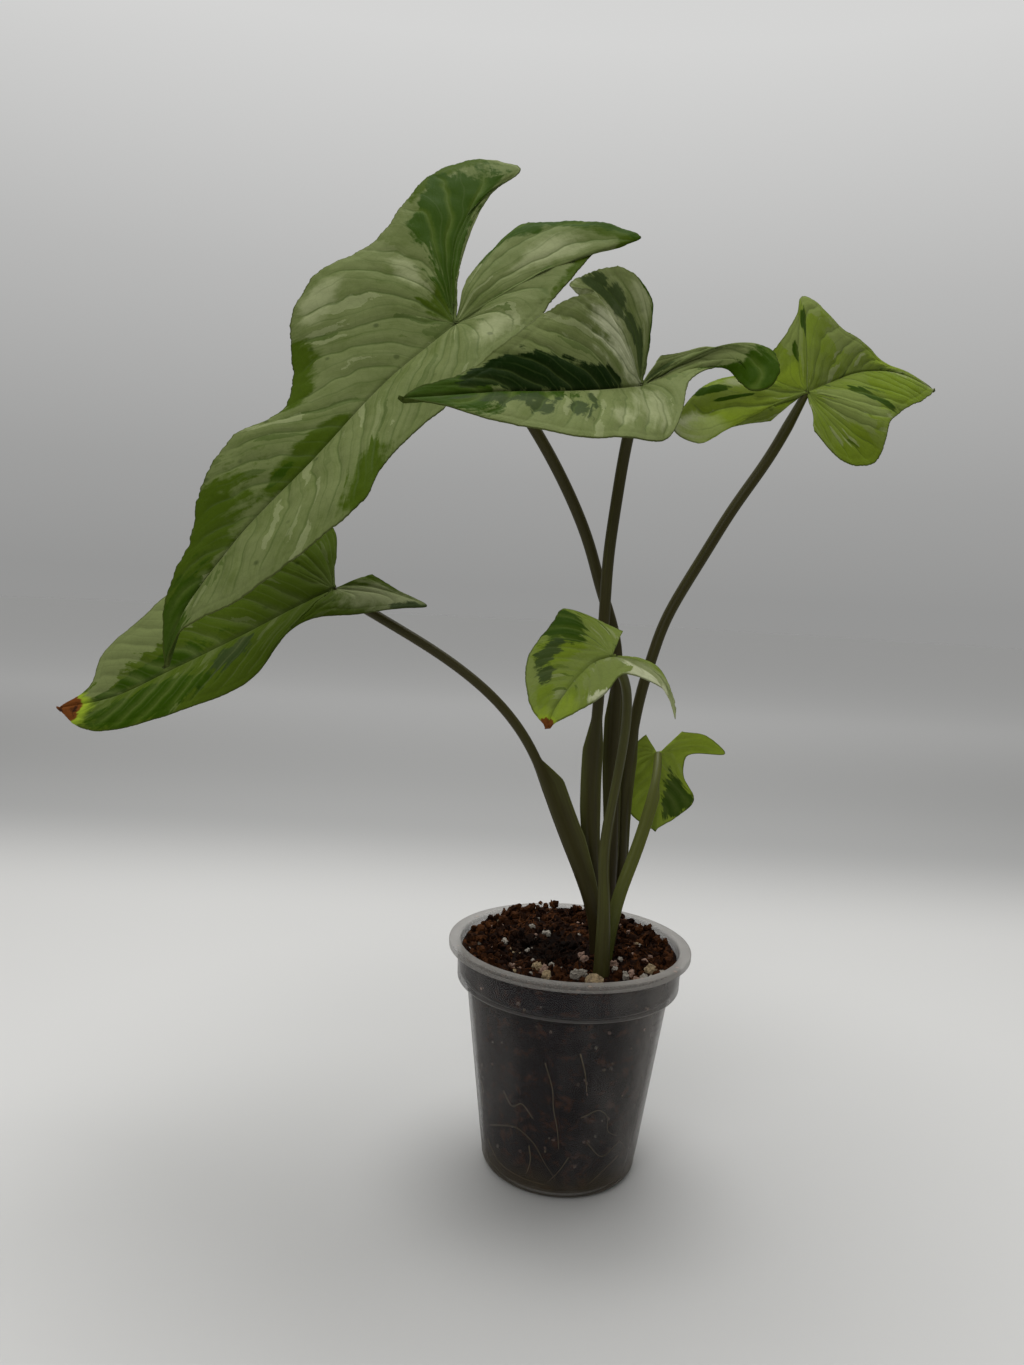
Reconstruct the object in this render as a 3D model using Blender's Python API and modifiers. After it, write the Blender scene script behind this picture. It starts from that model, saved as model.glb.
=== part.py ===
"""An arrowhead plant with six leaves, growing in soil in a clear plastic nursery pot.

Sizes are in millimetres and turn into metres where a mesh is made. The origin is the centre of the
pot's base, on the surface that it stands on, with +Z up and -Y towards the viewer.
"""

import math
from collections import namedtuple

import bmesh
import bpy
import numpy as np
from mathutils import Euler, Vector, noise

MM = 0.001
GAP = 0.3

# Pot
POT_HEIGHT = 76.0
POT_WALL = 0.8
POT_FLOOR = 1.2
RIM_RADIUS = 40.0
RIM_HEIGHT = 2.3
SKIRT_RADIUS = 36.9
LEDGE_HEIGHT = 62.9
BODY_TOP_RADIUS = 33.6
FOOT_RADIUS = 25.7
FOOT_ROUND = 3.8
POT_SIDES = 56
DRAIN_RADIUS = 2.6
DRAIN_CIRCLE = 15.5
DRAIN_COUNT = 6

# Soil
SOIL_LEVEL = 72.3
SOIL_MOUND = 3.2
SOIL_LUMP = 1.1
SOIL_SIDES = 40
SOIL_RINGS = 9
HOLE_FLOOR = 58.0
UPRIGHT_ABOVE_SOIL = 4.5
DRILL_SIDES = 14

# Blades
BLADE_THICKNESS = 0.7
BLADE_ROWS = 4
FEWEST_VEINS = 6
VEIN_SPACING = 20.0

# Leaf stalks
STALK_SIDES = 10
STALK_STATIONS = 22
STALK_TIP_RADIUS = 0.9
SHEATH_EDGE = 1.6

# One half of a blade: its margin from the tip of the leaf back to where the first vein from the
# junction ends, then round the basal lobe to where its last vein ends, which is the edge of the
# sinus. A point is x along the midrib, y across and z up from the blade; three more numbers move the
# middle of its vein.
Half = namedtuple("Half", "ahead lobe")
Leaf = namedtuple("Leaf", "place turn midrib left right swell wave ripples colour")
Stalk = namedtuple("Stalk", "base path base_radius radius sheath_end wings colour")

LEAVES = {
    "top": Leaf(
        place=(-46, -20, 268),
        turn=(-36, 51, -146),
        midrib=[(28, -3, 3), (61.5, -3, 5), (94, -5, 5), (119.5, -4, 2), (131, 0, 0)],
        left=Half(
            ahead=[(121, 1, 5), (110.5, 10, 9), (98.5, 16.5, 12), (81.5, 23.5, 14), (70.5, 26.5, 15),
                   (59.5, 23, 14), (49, 22, 13), (33, 23.5, 10)],
            lobe=[(7, 20.5, 5), (-14.5, 20.5, -1), (-37, 18, -6), (-52, 16, -9), (-67, 21.5, -14),
                  (-65.5, 13, -12), (-56.5, 0, -8), (-48, -9.5, -5), (-32.5, -10.5, -3), (-17.5, -8.5, -1)],
        ),
        right=Half(
            ahead=[(116, -11.5, 3), (101, -15.5, 6), (84.5, -24, 8), (68.5, -26.5, 8), (52.5, -22, 6),
                   (40.5, -29.5, 5), (20.5, -44.5, 6)],
            lobe=[(5, -46, 7), (-13, -40, 6), (-32, -42.5, 4), (-54, -45, 0, 0, -4, 0),
                  (-67.5, -40, -4, 0, -7.5, 0), (-72.5, -28, -8, 0, -10.5, 0),
                  (-54, -26.5, -5, 0, -5.5, 0), (-38.5, -21.5, -2, 0, -2, 0), (-20, -13, 0)],
        ),
        swell=0.05, wave=0.9, ripples=5, colour=(0.098, 0.122, 0.042),
    ),
    "middle": Leaf(
        place=(10, -20, 253),
        turn=(-46, 12, -131),
        midrib=[(20.5, 1.5, 1), (44, 2, 2), (65.5, 1, 2), (82, 0, 1), (96.5, -1, 0)],
        left=Half(
            ahead=[(87.5, 3.5, 1), (78.5, 12, 4), (69.5, 17.5, 6), (59, 24.5, 8), (44, 26.5, 8),
                   (23, 27, 7)],
            lobe=[(8, 19, 8), (-6, 9, 9), (-18.5, 6, 11.5), (-27, 6.5, 13),
                  (-25, 14.5, 13, -12.5, -2, 6), (-24, 19, 14, -14, -4.5, 5.5),
                  (-25.5, 21.5, 16, -14.5, -6.5, 5), (-30, 21, 18.5, -13, -7, 4),
                  (-35, 17, 20.5, -10.5, -6, 3.5), (-39, 10.5, 21, -7.5, -4, 3),
                  (-38, 6, 18.5, -4, -2.5, 2), (-34, 3, 15.5, 0, -1.5, 0), (-24.5, -1.5, 13.5), (-16, -3, 10),
                  (-8, -4.5, 7.5)],
        ),
        right=Half(
            ahead=[(92, -2.5, 0.5), (76.5, -4.5, 3), (64, -8, 6), (51, -12.5, 9), (33, -19.5, 12),
                   (23, -21, 14)],
            lobe=[(15.5, -22, 16), (19, -27, 14), (12, -29.5, 16), (4.5, -29, 18.5), (-1, -28, 19.5),
                  (-5.5, -24, 19.5), (-9, -17, 16.5, 0.5, 0, 0), (-7, -13, 12.5), (-5.5, -9, 9.5)],
        ),
        swell=0.05, wave=0.7, ripples=4, colour=(0.118, 0.15, 0.062),
    ),
    "right": Leaf(
        place=(69.5, 18, 261.5),
        turn=(46, -10, 45),
        midrib=[(18.5, 3.5, 1), (46.5, 8, 2), (82, 7, 1), (99, 0, 0)],
        left=Half(
            ahead=[(89, 7.5, 1), (66.5, 12.5, 4), (50, 18, 8), (38.5, 20.5, 10), (23.5, 31, 15)],
            lobe=[(20.5, 32, 15), (7.5, 24, 12), (-8, 15.5, 4), (-19, 13.5, -3), (-29, 15, -7.5),
                  (-42, 12, -14), (-49.5, 6, -20), (-44.5, -1, -19), (-33.5, -1, -13.5),
                  (-18.5, -4.5, -8)],
        ),
        right=Half(
            ahead=[(90, -3, 0), (70, -8, 1), (49.5, -12.5, 1), (35, -17, 0)],
            lobe=[(26.5, -23, -2), (22, -27, -5), (14.5, -28.5, -7), (8, -28, -8), (0.5, -26, -7),
                  (-5.5, -21.5, -5), (-10, -15, -3)],
        ),
        swell=0.05, wave=0.6, ripples=4, colour=(0.098, 0.135, 0.036),
    ),
    "left": Leaf(
        place=(-81.5, -6, 188),
        turn=(-46, 26, -170),
        midrib=[(12, 1.5, 1), (26, 4, 2), (52, 7, 3), (75, 6, 1), (91.5, 0.5, 0)],
        left=Half(
            ahead=[(85.5, 12, 0), (71, 20.5, 2), (50, 25, 4), (30, 24.5, 6), (21, 16, 5)],
            lobe=[(12, 11, 4), (-6, 16.5, 2), (-17.5, 19, 0), (-24, 20, -2), (-17.5, 8.5, -1),
                  (-13, 0.5, 0)],
        ),
        right=Half(
            ahead=[(80.5, -1, 1), (73.5, -10.5, 3), (57, -16.5, 5), (47.5, -21.5, 6), (25, -28.5, 6)],
            lobe=[(4.5, -30.5, 4), (-7, -31.5, 0), (-8, -24, 0), (-5, -12.5, 0)],
        ),
        swell=0.05, wave=0.6, ripples=4, colour=(0.034, 0.055, 0.012),
    ),
    "front": Leaf(
        place=(4.5, -40, 173.5),
        turn=(-19, 29, -125),
        midrib=[(4, -2.5, 0), (12.5, -3, 1), (24, -2, 2), (32.5, -1, 1), (36.5, 0, 0)],
        left=Half(
            ahead=[(30.5, 3, 1), (19, 7, 2), (7.5, 8, 2)],
            lobe=[(3.5, 13, 0), (2, 17.5, -2, -1, 0, 0), (8, 24.5, -6, -4.5, 2.5, 1),
                  (3, 21, -3, -3, 1.5, 0.5), (-3.5, 12.5, 0, -0.5, 0, 0), (-4, 7, 0)],
        ),
        right=Half(
            ahead=[(35, -5, 1), (29, -11, 2), (17.5, -17.5, 3), (7.5, -19.5, 3)],
            lobe=[(-2, -20.5, 3), (-9, -21.5, 2), (-13.5, -17.5, 0), (-15, -4, -2)],
        ),
        swell=0.05, wave=0.4, ripples=3, colour=(0.13, 0.168, 0.038),
    ),
    "back": Leaf(
        place=(28.5, 22, 136.5),
        turn=(175, 77, -95),
        midrib=[(9, 0.3, 0.5), (19.5, 0, 0.5), (26.5, 0, 0)],
        left=Half(
            ahead=[(21.5, -7.5, 1), (15, -13.5, 1), (6.5, -9.5, 1)],
            lobe=[(0.5, -10, 1), (-2, -23.5, 0, -2.5, 0, 0), (-7.5, -16.5, 0), (-8.5, -8, 0)],
        ),
        right=Half(
            ahead=[(22, 7.5, 1), (18, 10.5, 1), (6, 10, 1)],
            lobe=[(-2, 9, 1), (-6.5, 4.5, 0)],
        ),
        swell=0.05, wave=0.3, ripples=3, colour=(0.072, 0.112, 0.006),
    ),
}

# Each stalk stands upright in the soil at its base, then runs through its path to its blade. Its
# sheath ends at a share of its length, and its wings widen it to the left and to the right.
STALKS = {
    "top": Stalk(
        base=(13.9, 5.9),
        path=[(13, 7, 86.5), (13, 6.5, 102), (12, 6, 122.5), (11, 5.5, 143), (11, 5, 159.5),
              (10.5, 4.5, 173), (7.5, 3, 183.5), (3.5, 2, 192), (1, 1, 201), (-2.5, -1, 210),
              (-7, -3, 219), (-14, -6, 231), (-20.5, -9, 240.5), (-32, -12, 255)],
        base_radius=2.2, radius=1.85, sheath_end=0.4, wings=(0.6, 0.2), colour=(0.062, 0.072, 0.03),
    ),
    "middle": Stalk(
        base=(9.2, 5.0),
        path=[(8.5, 3.4, 87.5), (6, 2, 103.5), (4.5, 0.5, 120.5), (4, -1.5, 137.5), (4.5, -3.5, 154),
              (4.5, -5, 170), (4.5, -6.5, 186), (4.5, -8, 204), (5.5, -9, 215.5), (6.5, -10.5, 227.5),
              (7.5, -12.5, 237.5)],
        base_radius=2.2, radius=1.8, sheath_end=0.42, wings=(0.8, 0.8), colour=(0.062, 0.072, 0.03),
    ),
    "right": Stalk(
        base=(14.6, 10.7),
        path=[(16.5, 10.5, 86), (16.5, 10, 101.5), (16, 9.5, 115), (16, 9.5, 127.5),
              (17.5, 10, 142.5), (19.5, 10.5, 158), (23, 11, 171.5), (25.5, 11.5, 181.5),
              (31.5, 12.5, 193.5), (39, 13.5, 207), (46, 14.5, 220), (58.5, 16, 239.5)],
        base_radius=2.2, radius=1.85, sheath_end=0.36, wings=(0.2, 0.9), colour=(0.062, 0.072, 0.03),
    ),
    "left": Stalk(
        base=(8.8, 0.2),
        path=[(7, -3.2, 86.5), (1, -5, 102), (-5.5, -5.5, 116), (-11, -5.5, 129.5),
              (-15.5, -5.5, 139.5), (-20.5, -5.5, 147), (-30.5, -5, 157.5), (-40, -4, 164.5),
              (-47, -3.5, 169), (-57, -3, 174.5), (-70, -4, 181.5)],
        base_radius=2.2, radius=1.6, sheath_end=0.44, wings=(0.3, 4.2), colour=(0.05, 0.062, 0.022),
    ),
    "front": Stalk(
        base=(9.5, -16),
        path=[(9.5, -15, 83.5), (9.5, -14, 92.5), (8, -14, 108.5), (9, -15, 120.5),
              (10.5, -17, 133.5), (11.5, -21, 145.5), (11.5, -26, 157), (10, -32, 166.5)],
        base_radius=3.2, radius=1.7, sheath_end=0.5, wings=(0.3, 0.3), colour=(0.088, 0.082, 0.024),
    ),
    "back": Stalk(
        base=(12.2, -4.2),
        path=[(12.5, -5, 84), (14, -5, 93), (18.5, -2, 104.5), (22.5, 3, 115.5), (25, 7, 123),
              (27.5, 13, 130)],
        base_radius=1.9, radius=1.45, sheath_end=0.8, wings=(0.2, 1.8), colour=(0.11, 0.105, 0.03),
    ),
}

COLOURS = {"pot": (0.72, 0.74, 0.74), "soil": (0.022, 0.012, 0.008)}


def clear_scene():
    for obj in list(bpy.data.objects):
        bpy.data.objects.remove(obj)


def new_collection(name, hidden=False):
    collection = bpy.data.collections.new(name)
    collection.hide_render = hidden
    bpy.context.scene.collection.children.link(collection)
    return collection


def new_material(name, colour, roughness, alpha=1.0):
    material = bpy.data.materials.new(name)
    material.use_nodes = True
    shader = material.node_tree.nodes["Principled BSDF"]
    shader.inputs["Base Color"].default_value = (*colour, 1.0)
    shader.inputs["Roughness"].default_value = roughness
    shader.inputs["Metallic"].default_value = 0.0
    shader.inputs["Alpha"].default_value = alpha
    return material


def object_from(bm, name, collection, material=None):
    """An object made of the bmesh, whose points are in millimetres."""
    bmesh.ops.scale(bm, vec=(MM, MM, MM), verts=bm.verts)
    mesh = bpy.data.meshes.new(name)
    bm.to_mesh(mesh)
    bm.free()
    mesh.shade_smooth()
    mesh.set_sharp_from_angle(angle=math.radians(40))
    if material:
        mesh.materials.append(material)
    obj = bpy.data.objects.new(name, mesh)
    collection.objects.link(obj)
    return obj


class Curve:
    """A smooth curve through points, read by the length along their chords."""

    def __init__(self, points, marks=None):
        self.points = np.array(points, float)
        if marks is None:
            chords = np.linalg.norm(np.diff(self.points, axis=0), axis=1)
            marks = np.concatenate([[0.0], np.cumsum(chords)])
        self.marks = marks
        self.slopes = np.gradient(self.points, marks, axis=0)

    def __call__(self, at):
        at = np.clip(np.atleast_1d(at), 0.0, self.marks[-1])
        left = np.clip(np.searchsorted(self.marks, at, side="right") - 1, 0, len(self.marks) - 2)
        span = (self.marks[left + 1] - self.marks[left])[:, None]
        share = (at - self.marks[left])[:, None] / span
        square, cube = share**2, share**3
        return (
            (2 * cube - 3 * square + 1) * self.points[left]
            + (cube - 2 * square + share) * span * self.slopes[left]
            + (3 * square - 2 * cube) * self.points[left + 1]
            + (cube - square) * span * self.slopes[left + 1]
        )


def lathe(name, profile, sides, collection, material):
    """A turned solid, whose profile starts and ends on the axis and runs down its outer side."""
    bm = bmesh.new()
    verts = [bm.verts.new((radius * MM, 0.0, height * MM)) for radius, height in profile]
    for first, second in zip(verts, verts[1:]):
        bm.edges.new((first, second))
    mesh = bpy.data.meshes.new(name)
    bm.to_mesh(mesh)
    bm.free()
    mesh.materials.append(material)
    obj = bpy.data.objects.new(name, mesh)
    collection.objects.link(obj)
    screw = obj.modifiers.new("Turn", "SCREW")
    screw.steps = screw.render_steps = sides
    screw.use_merge_vertices = True
    screw.merge_threshold = 1e-5
    screw.use_smooth_shade = True
    return obj


def arc(centre, radius, start, end, count):
    """Points of an arc, with angles in degrees from +X towards +Z."""
    angles = np.radians(np.linspace(start, end, count))
    return [(centre[0] + radius * math.cos(a), centre[1] + radius * math.sin(a)) for a in angles]


def pot_outside():
    """The pot's outer side, from the top of the rim down to the middle of the base."""
    rim_bottom = POT_HEIGHT - RIM_HEIGHT
    lip = 0.5
    return [
        *arc((RIM_RADIUS - lip, POT_HEIGHT - lip), lip, 90, 0, 3),
        *arc((RIM_RADIUS - lip, rim_bottom + lip), lip, 0, -90, 3),
        (SKIRT_RADIUS + 0.1, rim_bottom),
        (SKIRT_RADIUS - 0.2, LEDGE_HEIGHT + 1.0),
        (SKIRT_RADIUS - 1.0, LEDGE_HEIGHT + 0.1),
        (BODY_TOP_RADIUS, LEDGE_HEIGHT - 0.4),
        *arc((FOOT_RADIUS - FOOT_ROUND, FOOT_ROUND), FOOT_ROUND, 5, -90, 5),
        (0.0, 0.0),
    ]


def pot_inside():
    """The pot's inner side, from the middle of its floor up to the rim."""
    inner_round = FOOT_ROUND - POT_WALL
    return [
        (0.0, POT_FLOOR),
        *arc((FOOT_RADIUS - FOOT_ROUND, POT_FLOOR + inner_round), inner_round, -90, 5, 4),
        (BODY_TOP_RADIUS - POT_WALL, LEDGE_HEIGHT),
        (SKIRT_RADIUS - 1.0 - POT_WALL, LEDGE_HEIGHT + 0.1 + POT_WALL),
        (SKIRT_RADIUS - POT_WALL, POT_HEIGHT - 1.2),
        (SKIRT_RADIUS - POT_WALL + 0.6, POT_HEIGHT),
    ]


def make_pot(collection, cutters):
    material = new_material("clear_plastic", COLOURS["pot"], 0.25, alpha=0.4)
    pot = lathe("pot", [*pot_inside(), *pot_outside()], POT_SIDES, collection, material)
    for index in range(DRAIN_COUNT):
        turn = 2 * math.pi * (index + 0.5) / DRAIN_COUNT
        centre = Vector((math.cos(turn), math.sin(turn), 0.0)) * DRAIN_CIRCLE
        cut(pot, drill(f"drain_{index + 1}", centre, DRAIN_RADIUS, 8 * POT_FLOOR, cutters))
    return pot


def drill(name, centre, radius, length, cutters):
    """An upright cylinder that cuts a hole, whose flat sides stay outside the radius."""
    bm = bmesh.new()
    reach = radius / math.cos(math.pi / DRILL_SIDES)
    bmesh.ops.create_cone(
        bm, cap_ends=True, segments=DRILL_SIDES, radius1=reach, radius2=reach, depth=length
    )
    bmesh.ops.translate(bm, verts=bm.verts, vec=centre)
    cutter = object_from(bm, name, cutters)
    cutter.hide_render = True
    cutter.display_type = "WIRE"
    return cutter


def cut(obj, cutter):
    boolean = obj.modifiers.new(cutter.name, "BOOLEAN")
    boolean.operation = "DIFFERENCE"
    boolean.object = cutter


def soil_wall():
    """The soil's outer side, a gap inside the pot, from its top edge down to its middle."""
    inside = [(radius - GAP, height) for radius, height in pot_inside()[1:-2]]
    inside = [(radius, height + GAP) for radius, height in inside]
    return [*reversed(inside), (0.0, POT_FLOOR + GAP)]


def soil_height(x, y):
    """The lumpy top of the soil, a little mounded towards the back."""
    lump = noise.noise(Vector((x / 7.0, y / 7.0, 3.0))) + 0.5 * noise.noise(Vector((x / 3.2, y / 3.2, 8.0)))
    return SOIL_LEVEL + SOIL_MOUND * (y / SKIRT_RADIUS) + SOIL_LUMP * lump


def make_soil(collection, cutters):
    top_radius = SKIRT_RADIUS - POT_WALL - GAP - 0.3
    rings = [(top_radius * step / SOIL_RINGS, SOIL_LEVEL) for step in range(SOIL_RINGS + 1)]
    profile = [*rings, *soil_wall()]
    bm = bmesh.new()
    verts = [bm.verts.new((radius, 0.0, height)) for radius, height in profile]
    edges = [bm.edges.new(pair) for pair in zip(verts, verts[1:])]
    bmesh.ops.spin(
        bm, geom=[*verts, *edges], cent=(0, 0, 0), axis=(0, 0, 1), dvec=(0, 0, 0),
        angle=2 * math.pi, steps=SOIL_SIDES, use_merge=True, use_duplicate=False,
    )
    bmesh.ops.remove_doubles(bm, verts=bm.verts, dist=1e-3)
    for vert in bm.verts:
        if vert.co.z > SOIL_LEVEL - GAP:
            vert.co.z = soil_height(vert.co.x, vert.co.y)
    bmesh.ops.triangulate(bm, faces=bm.faces)
    bmesh.ops.recalc_face_normals(bm, faces=bm.faces)
    soil = object_from(bm, "soil", collection, new_material("soil", COLOURS["soil"], 0.9))
    for name, stalk in STALKS.items():
        centre = Vector((*stalk.base, HOLE_FLOOR + 15.0))
        cut(soil, drill(f"hole_{name}", centre, stalk.base_radius + GAP, 30.0, cutters))
    return soil


def vein_count(leaf):
    """Veins on one side of the midrib, which is also how many each lobe has: more on a longer leaf."""
    return FEWEST_VEINS + round(leaf.midrib[-1][0] / VEIN_SPACING)


def half_columns(half, leaf):
    """Where each vein of a half blade ends, and how far its middle is moved."""
    points = [leaf.midrib[-1], *half.ahead, *half.lobe]
    margin = Curve([point[:3] for point in points])
    moves = Curve([point[3:] if len(point) > 3 else (0, 0, 0) for point in points], margin.marks)
    first_lobe_mark = margin.marks[len(half.ahead)]
    veins = vein_count(leaf)
    at = np.concatenate([
        np.linspace(0.0, first_lobe_mark, veins + 1)[:-1],
        np.linspace(first_lobe_mark, margin.marks[-1], veins + 1),
    ])
    return at / margin.marks[-1], margin(at), moves(at)


def vein_roots(leaf):
    """Where each vein leaves the midrib: evenly from the tip to the junction, then at the junction."""
    midrib = Curve([(0, 0, 0), *leaf.midrib])
    veins = vein_count(leaf)
    ahead = midrib(np.linspace(midrib.marks[-1], 0.0, veins + 1))
    return np.concatenate([ahead, np.zeros((veins, 3))])


def blade_point(leaf, side, roots, halves, column, share):
    """A point of the blade on one vein, at a share of the way from the midrib to the margin."""
    along, margin, moves = (values[column] for values in halves[side])
    root = roots[column]
    length = np.linalg.norm(margin - root)
    middle = (root + margin) / 2 + moves + np.array([0, 0, leaf.swell * length])
    point = (
        root * (1 - share) * (1 - 2 * share)
        + middle * 4 * share * (1 - share)
        + margin * share * (2 * share - 1)
    )
    taper = math.sin(math.pi * along) ** 0.5
    point[2] += leaf.wave * taper * share**2 * math.sin(2 * math.pi * leaf.ripples * along + side)
    return point


def make_blade(name, leaf, collection):
    columns = 2 * vein_count(leaf)
    roots = vein_roots(leaf)
    halves = [half_columns(half, leaf) for half in (leaf.right, leaf.left)]
    bm = bmesh.new()
    bmesh.ops.create_grid(bm, x_segments=2 * BLADE_ROWS, y_segments=columns, size=1.0)
    for vert in bm.verts:
        column = round((vert.co.y + 1) / 2 * columns)
        side = int(vert.co.x > 0)
        vert.co = blade_point(leaf, side, roots, halves, column, abs(vert.co.x))
    bmesh.ops.remove_doubles(bm, verts=bm.verts, dist=1e-3)
    bmesh.ops.triangulate(bm, faces=bm.faces)
    bmesh.ops.recalc_face_normals(bm, faces=bm.faces)
    blade = object_from(bm, f"blade_{name}", collection, new_material(f"blade_{name}", leaf.colour, 0.4))
    blade.location = Vector(leaf.place) * MM
    blade.rotation_euler = [math.radians(angle) for angle in leaf.turn]
    solidify = blade.modifiers.new("Thickness", "SOLIDIFY")
    solidify.thickness = BLADE_THICKNESS * MM
    solidify.offset = 0.0
    return blade


def stalk_end(stalk, leaf):
    """Where a stalk ends, a gap below the underside of its blade at the junction."""
    junction = Vector(leaf.place)
    up = Euler([math.radians(angle) for angle in leaf.turn]).to_matrix() @ Vector((0, 0, 1))
    heading = (junction - Vector(stalk.path[-1])).normalized()
    lean = math.sqrt(max(0.0, 1 - heading.dot(up) ** 2))
    return junction - up * (BLADE_THICKNESS / 2 + GAP + STALK_TIP_RADIUS * lean)


def stalk_half_widths(stalk, share):
    """Half widths to the left and right, and half the thickness, at a share of the length."""
    core = stalk.base_radius + (stalk.radius - stalk.base_radius) * min(1.0, share / 0.35)
    if share > 0.94:
        core = core + (STALK_TIP_RADIUS - core) * (share - 0.94) / 0.06
    grown = min(1.0, max(0.0, (share - 0.12) / 0.2))
    ended = min(1.0, max(0.0, (share - stalk.sheath_end) / 0.05))
    open_share = grown * (1 - ended)
    left, right = (core + wing * open_share for wing in stalk.wings)
    return left, right, core * (1 - 0.15 * open_share)


def make_stalk(name, stalk, leaf, collection):
    foot = (*stalk.base, HOLE_FLOOR + GAP)
    above_soil = (*stalk.base, SOIL_LEVEL + UPRIGHT_ABOVE_SOIL)
    course = Curve([foot, above_soil, *stalk.path, stalk_end(stalk, leaf)])
    at = np.linspace(0.0, course.marks[-1], STALK_STATIONS + 1)
    middles = [Vector(point) for point in course(at)]
    ahead = [Vector(point) for point in course(np.minimum(at + 0.5, course.marks[-1]))]
    behind = [Vector(point) for point in course(np.maximum(at - 0.5, 0.0))]
    bm = bmesh.new()
    bmesh.ops.create_grid(bm, x_segments=STALK_SIDES, y_segments=STALK_STATIONS, size=1.0)
    for vert in bm.verts:
        angle = math.pi * (vert.co.x + 1)
        station = round((vert.co.y + 1) / 2 * STALK_STATIONS)
        heading = (ahead[station] - behind[station]).normalized()
        across = Vector((0, 1, 0)).cross(heading).normalized()
        front = across.cross(heading)
        left, right, thick = stalk_half_widths(stalk, station / STALK_STATIONS)
        side = math.cos(angle)
        reach = right if side > 0 else left
        flat = abs(math.sin(angle)) ** (SHEATH_EDGE - 1 if reach > thick * 1.3 else 0)
        vert.co = middles[station] + across * reach * side + front * thick * math.sin(angle) * flat
    bmesh.ops.remove_doubles(bm, verts=bm.verts, dist=1e-3)
    ends = [edge for edge in bm.edges if edge.is_boundary]
    bmesh.ops.holes_fill(bm, edges=ends, sides=0)
    bmesh.ops.triangulate(bm, faces=bm.faces)
    bmesh.ops.recalc_face_normals(bm, faces=bm.faces)
    return object_from(bm, f"stalk_{name}", collection, new_material(f"stalk_{name}", stalk.colour, 0.5))


def main():
    clear_scene()
    plant = new_collection("arrowhead_plant")
    cutters = new_collection("cutters", hidden=True)
    make_pot(plant, cutters)
    make_soil(plant, cutters)
    for name, leaf in LEAVES.items():
        make_blade(name, leaf, plant)
        make_stalk(name, STALKS[name], leaf, plant)


main()
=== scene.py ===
"""Arrowhead plant in a clear nursery pot: its leaves, stalks, pot, potting mix and roots, in looks.

It is laid out as a Blender add-on and run as a script. Sizes in the tables are millimetres, in the
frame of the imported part: the origin is the centre of the pot's base and -Y is towards the viewer.
"""

import math
import random
from collections import namedtuple

import bmesh
import bpy
import numpy as np
from mathutils import Euler, Matrix, Vector, noise


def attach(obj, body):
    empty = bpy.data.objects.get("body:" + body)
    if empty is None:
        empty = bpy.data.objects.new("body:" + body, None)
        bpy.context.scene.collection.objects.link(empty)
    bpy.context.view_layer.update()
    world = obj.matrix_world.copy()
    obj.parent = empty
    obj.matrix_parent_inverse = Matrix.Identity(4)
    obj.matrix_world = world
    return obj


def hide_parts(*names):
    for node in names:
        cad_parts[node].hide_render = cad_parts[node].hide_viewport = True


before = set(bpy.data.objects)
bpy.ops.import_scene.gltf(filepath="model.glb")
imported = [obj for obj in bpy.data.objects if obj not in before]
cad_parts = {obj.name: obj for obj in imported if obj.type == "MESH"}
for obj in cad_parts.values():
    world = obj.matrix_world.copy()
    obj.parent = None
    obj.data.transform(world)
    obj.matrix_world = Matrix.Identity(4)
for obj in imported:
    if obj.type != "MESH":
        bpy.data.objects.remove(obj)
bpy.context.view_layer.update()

bl_info = {
    "name": "Potted arrowhead plant",
    "version": (1, 0, 0),
    "blender": (4, 5, 0),
    "location": "View3D > Sidebar > Plant",
    "description": "Variegated arrowhead plant with six leaves in a clear nursery pot",
    "category": "Object",
}

MM = 0.001
FULL_TURN = 2 * math.pi

# Pot, in millimetres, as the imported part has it
POT_HEIGHT = 76.0
POT_WALL = 0.8
POT_FLOOR = 1.2
RIM_RADIUS = 40.0
RIM_HEIGHT = 2.3
SKIRT_RADIUS = 36.9
LEDGE_HEIGHT = 62.9
BODY_TOP_RADIUS = 33.6
FOOT_RADIUS = 25.7
FOOT_ROUND = 3.8
DRAIN_RADIUS = 2.6
DRAIN_CIRCLE = 15.5
DRAIN_COUNT = 6

# Soil
SOIL_LEVEL = 72.3
SOIL_MOUND = 3.2
SOIL_LUMP = 1.1
SOIL_GAP = 0.35
SOIL_FOOT = 58.3
UPRIGHT_ABOVE_SOIL = 4.5

# One half of a blade: its margin from the tip of the leaf back to where the first vein from the
# junction ends, then round the basal lobe to where its last vein ends, which is the edge of the
# sinus. A point is x along the midrib, y across and z up from the blade, and three more numbers
# move the middle of its vein.
Half = namedtuple("Half", "ahead lobe")
# A leaf has its place and turn, the shape and waves of its blade, how many side veins it has ahead
# of the junction and in a lobe, how young and how pale it is, and its patches of colour by half and
# tone. A patch is its place along the margin and out to it, and its reach along and out, in shares.
Leaf = namedtuple(
    "Leaf",
    "place turn midrib left right swell wave ripples veins ragged scallops fresh ground mottle"
    " vein_tone patches",
)
Stalk = namedtuple("Stalk", "base path base_radius radius sheath_end wings tint")

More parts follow.
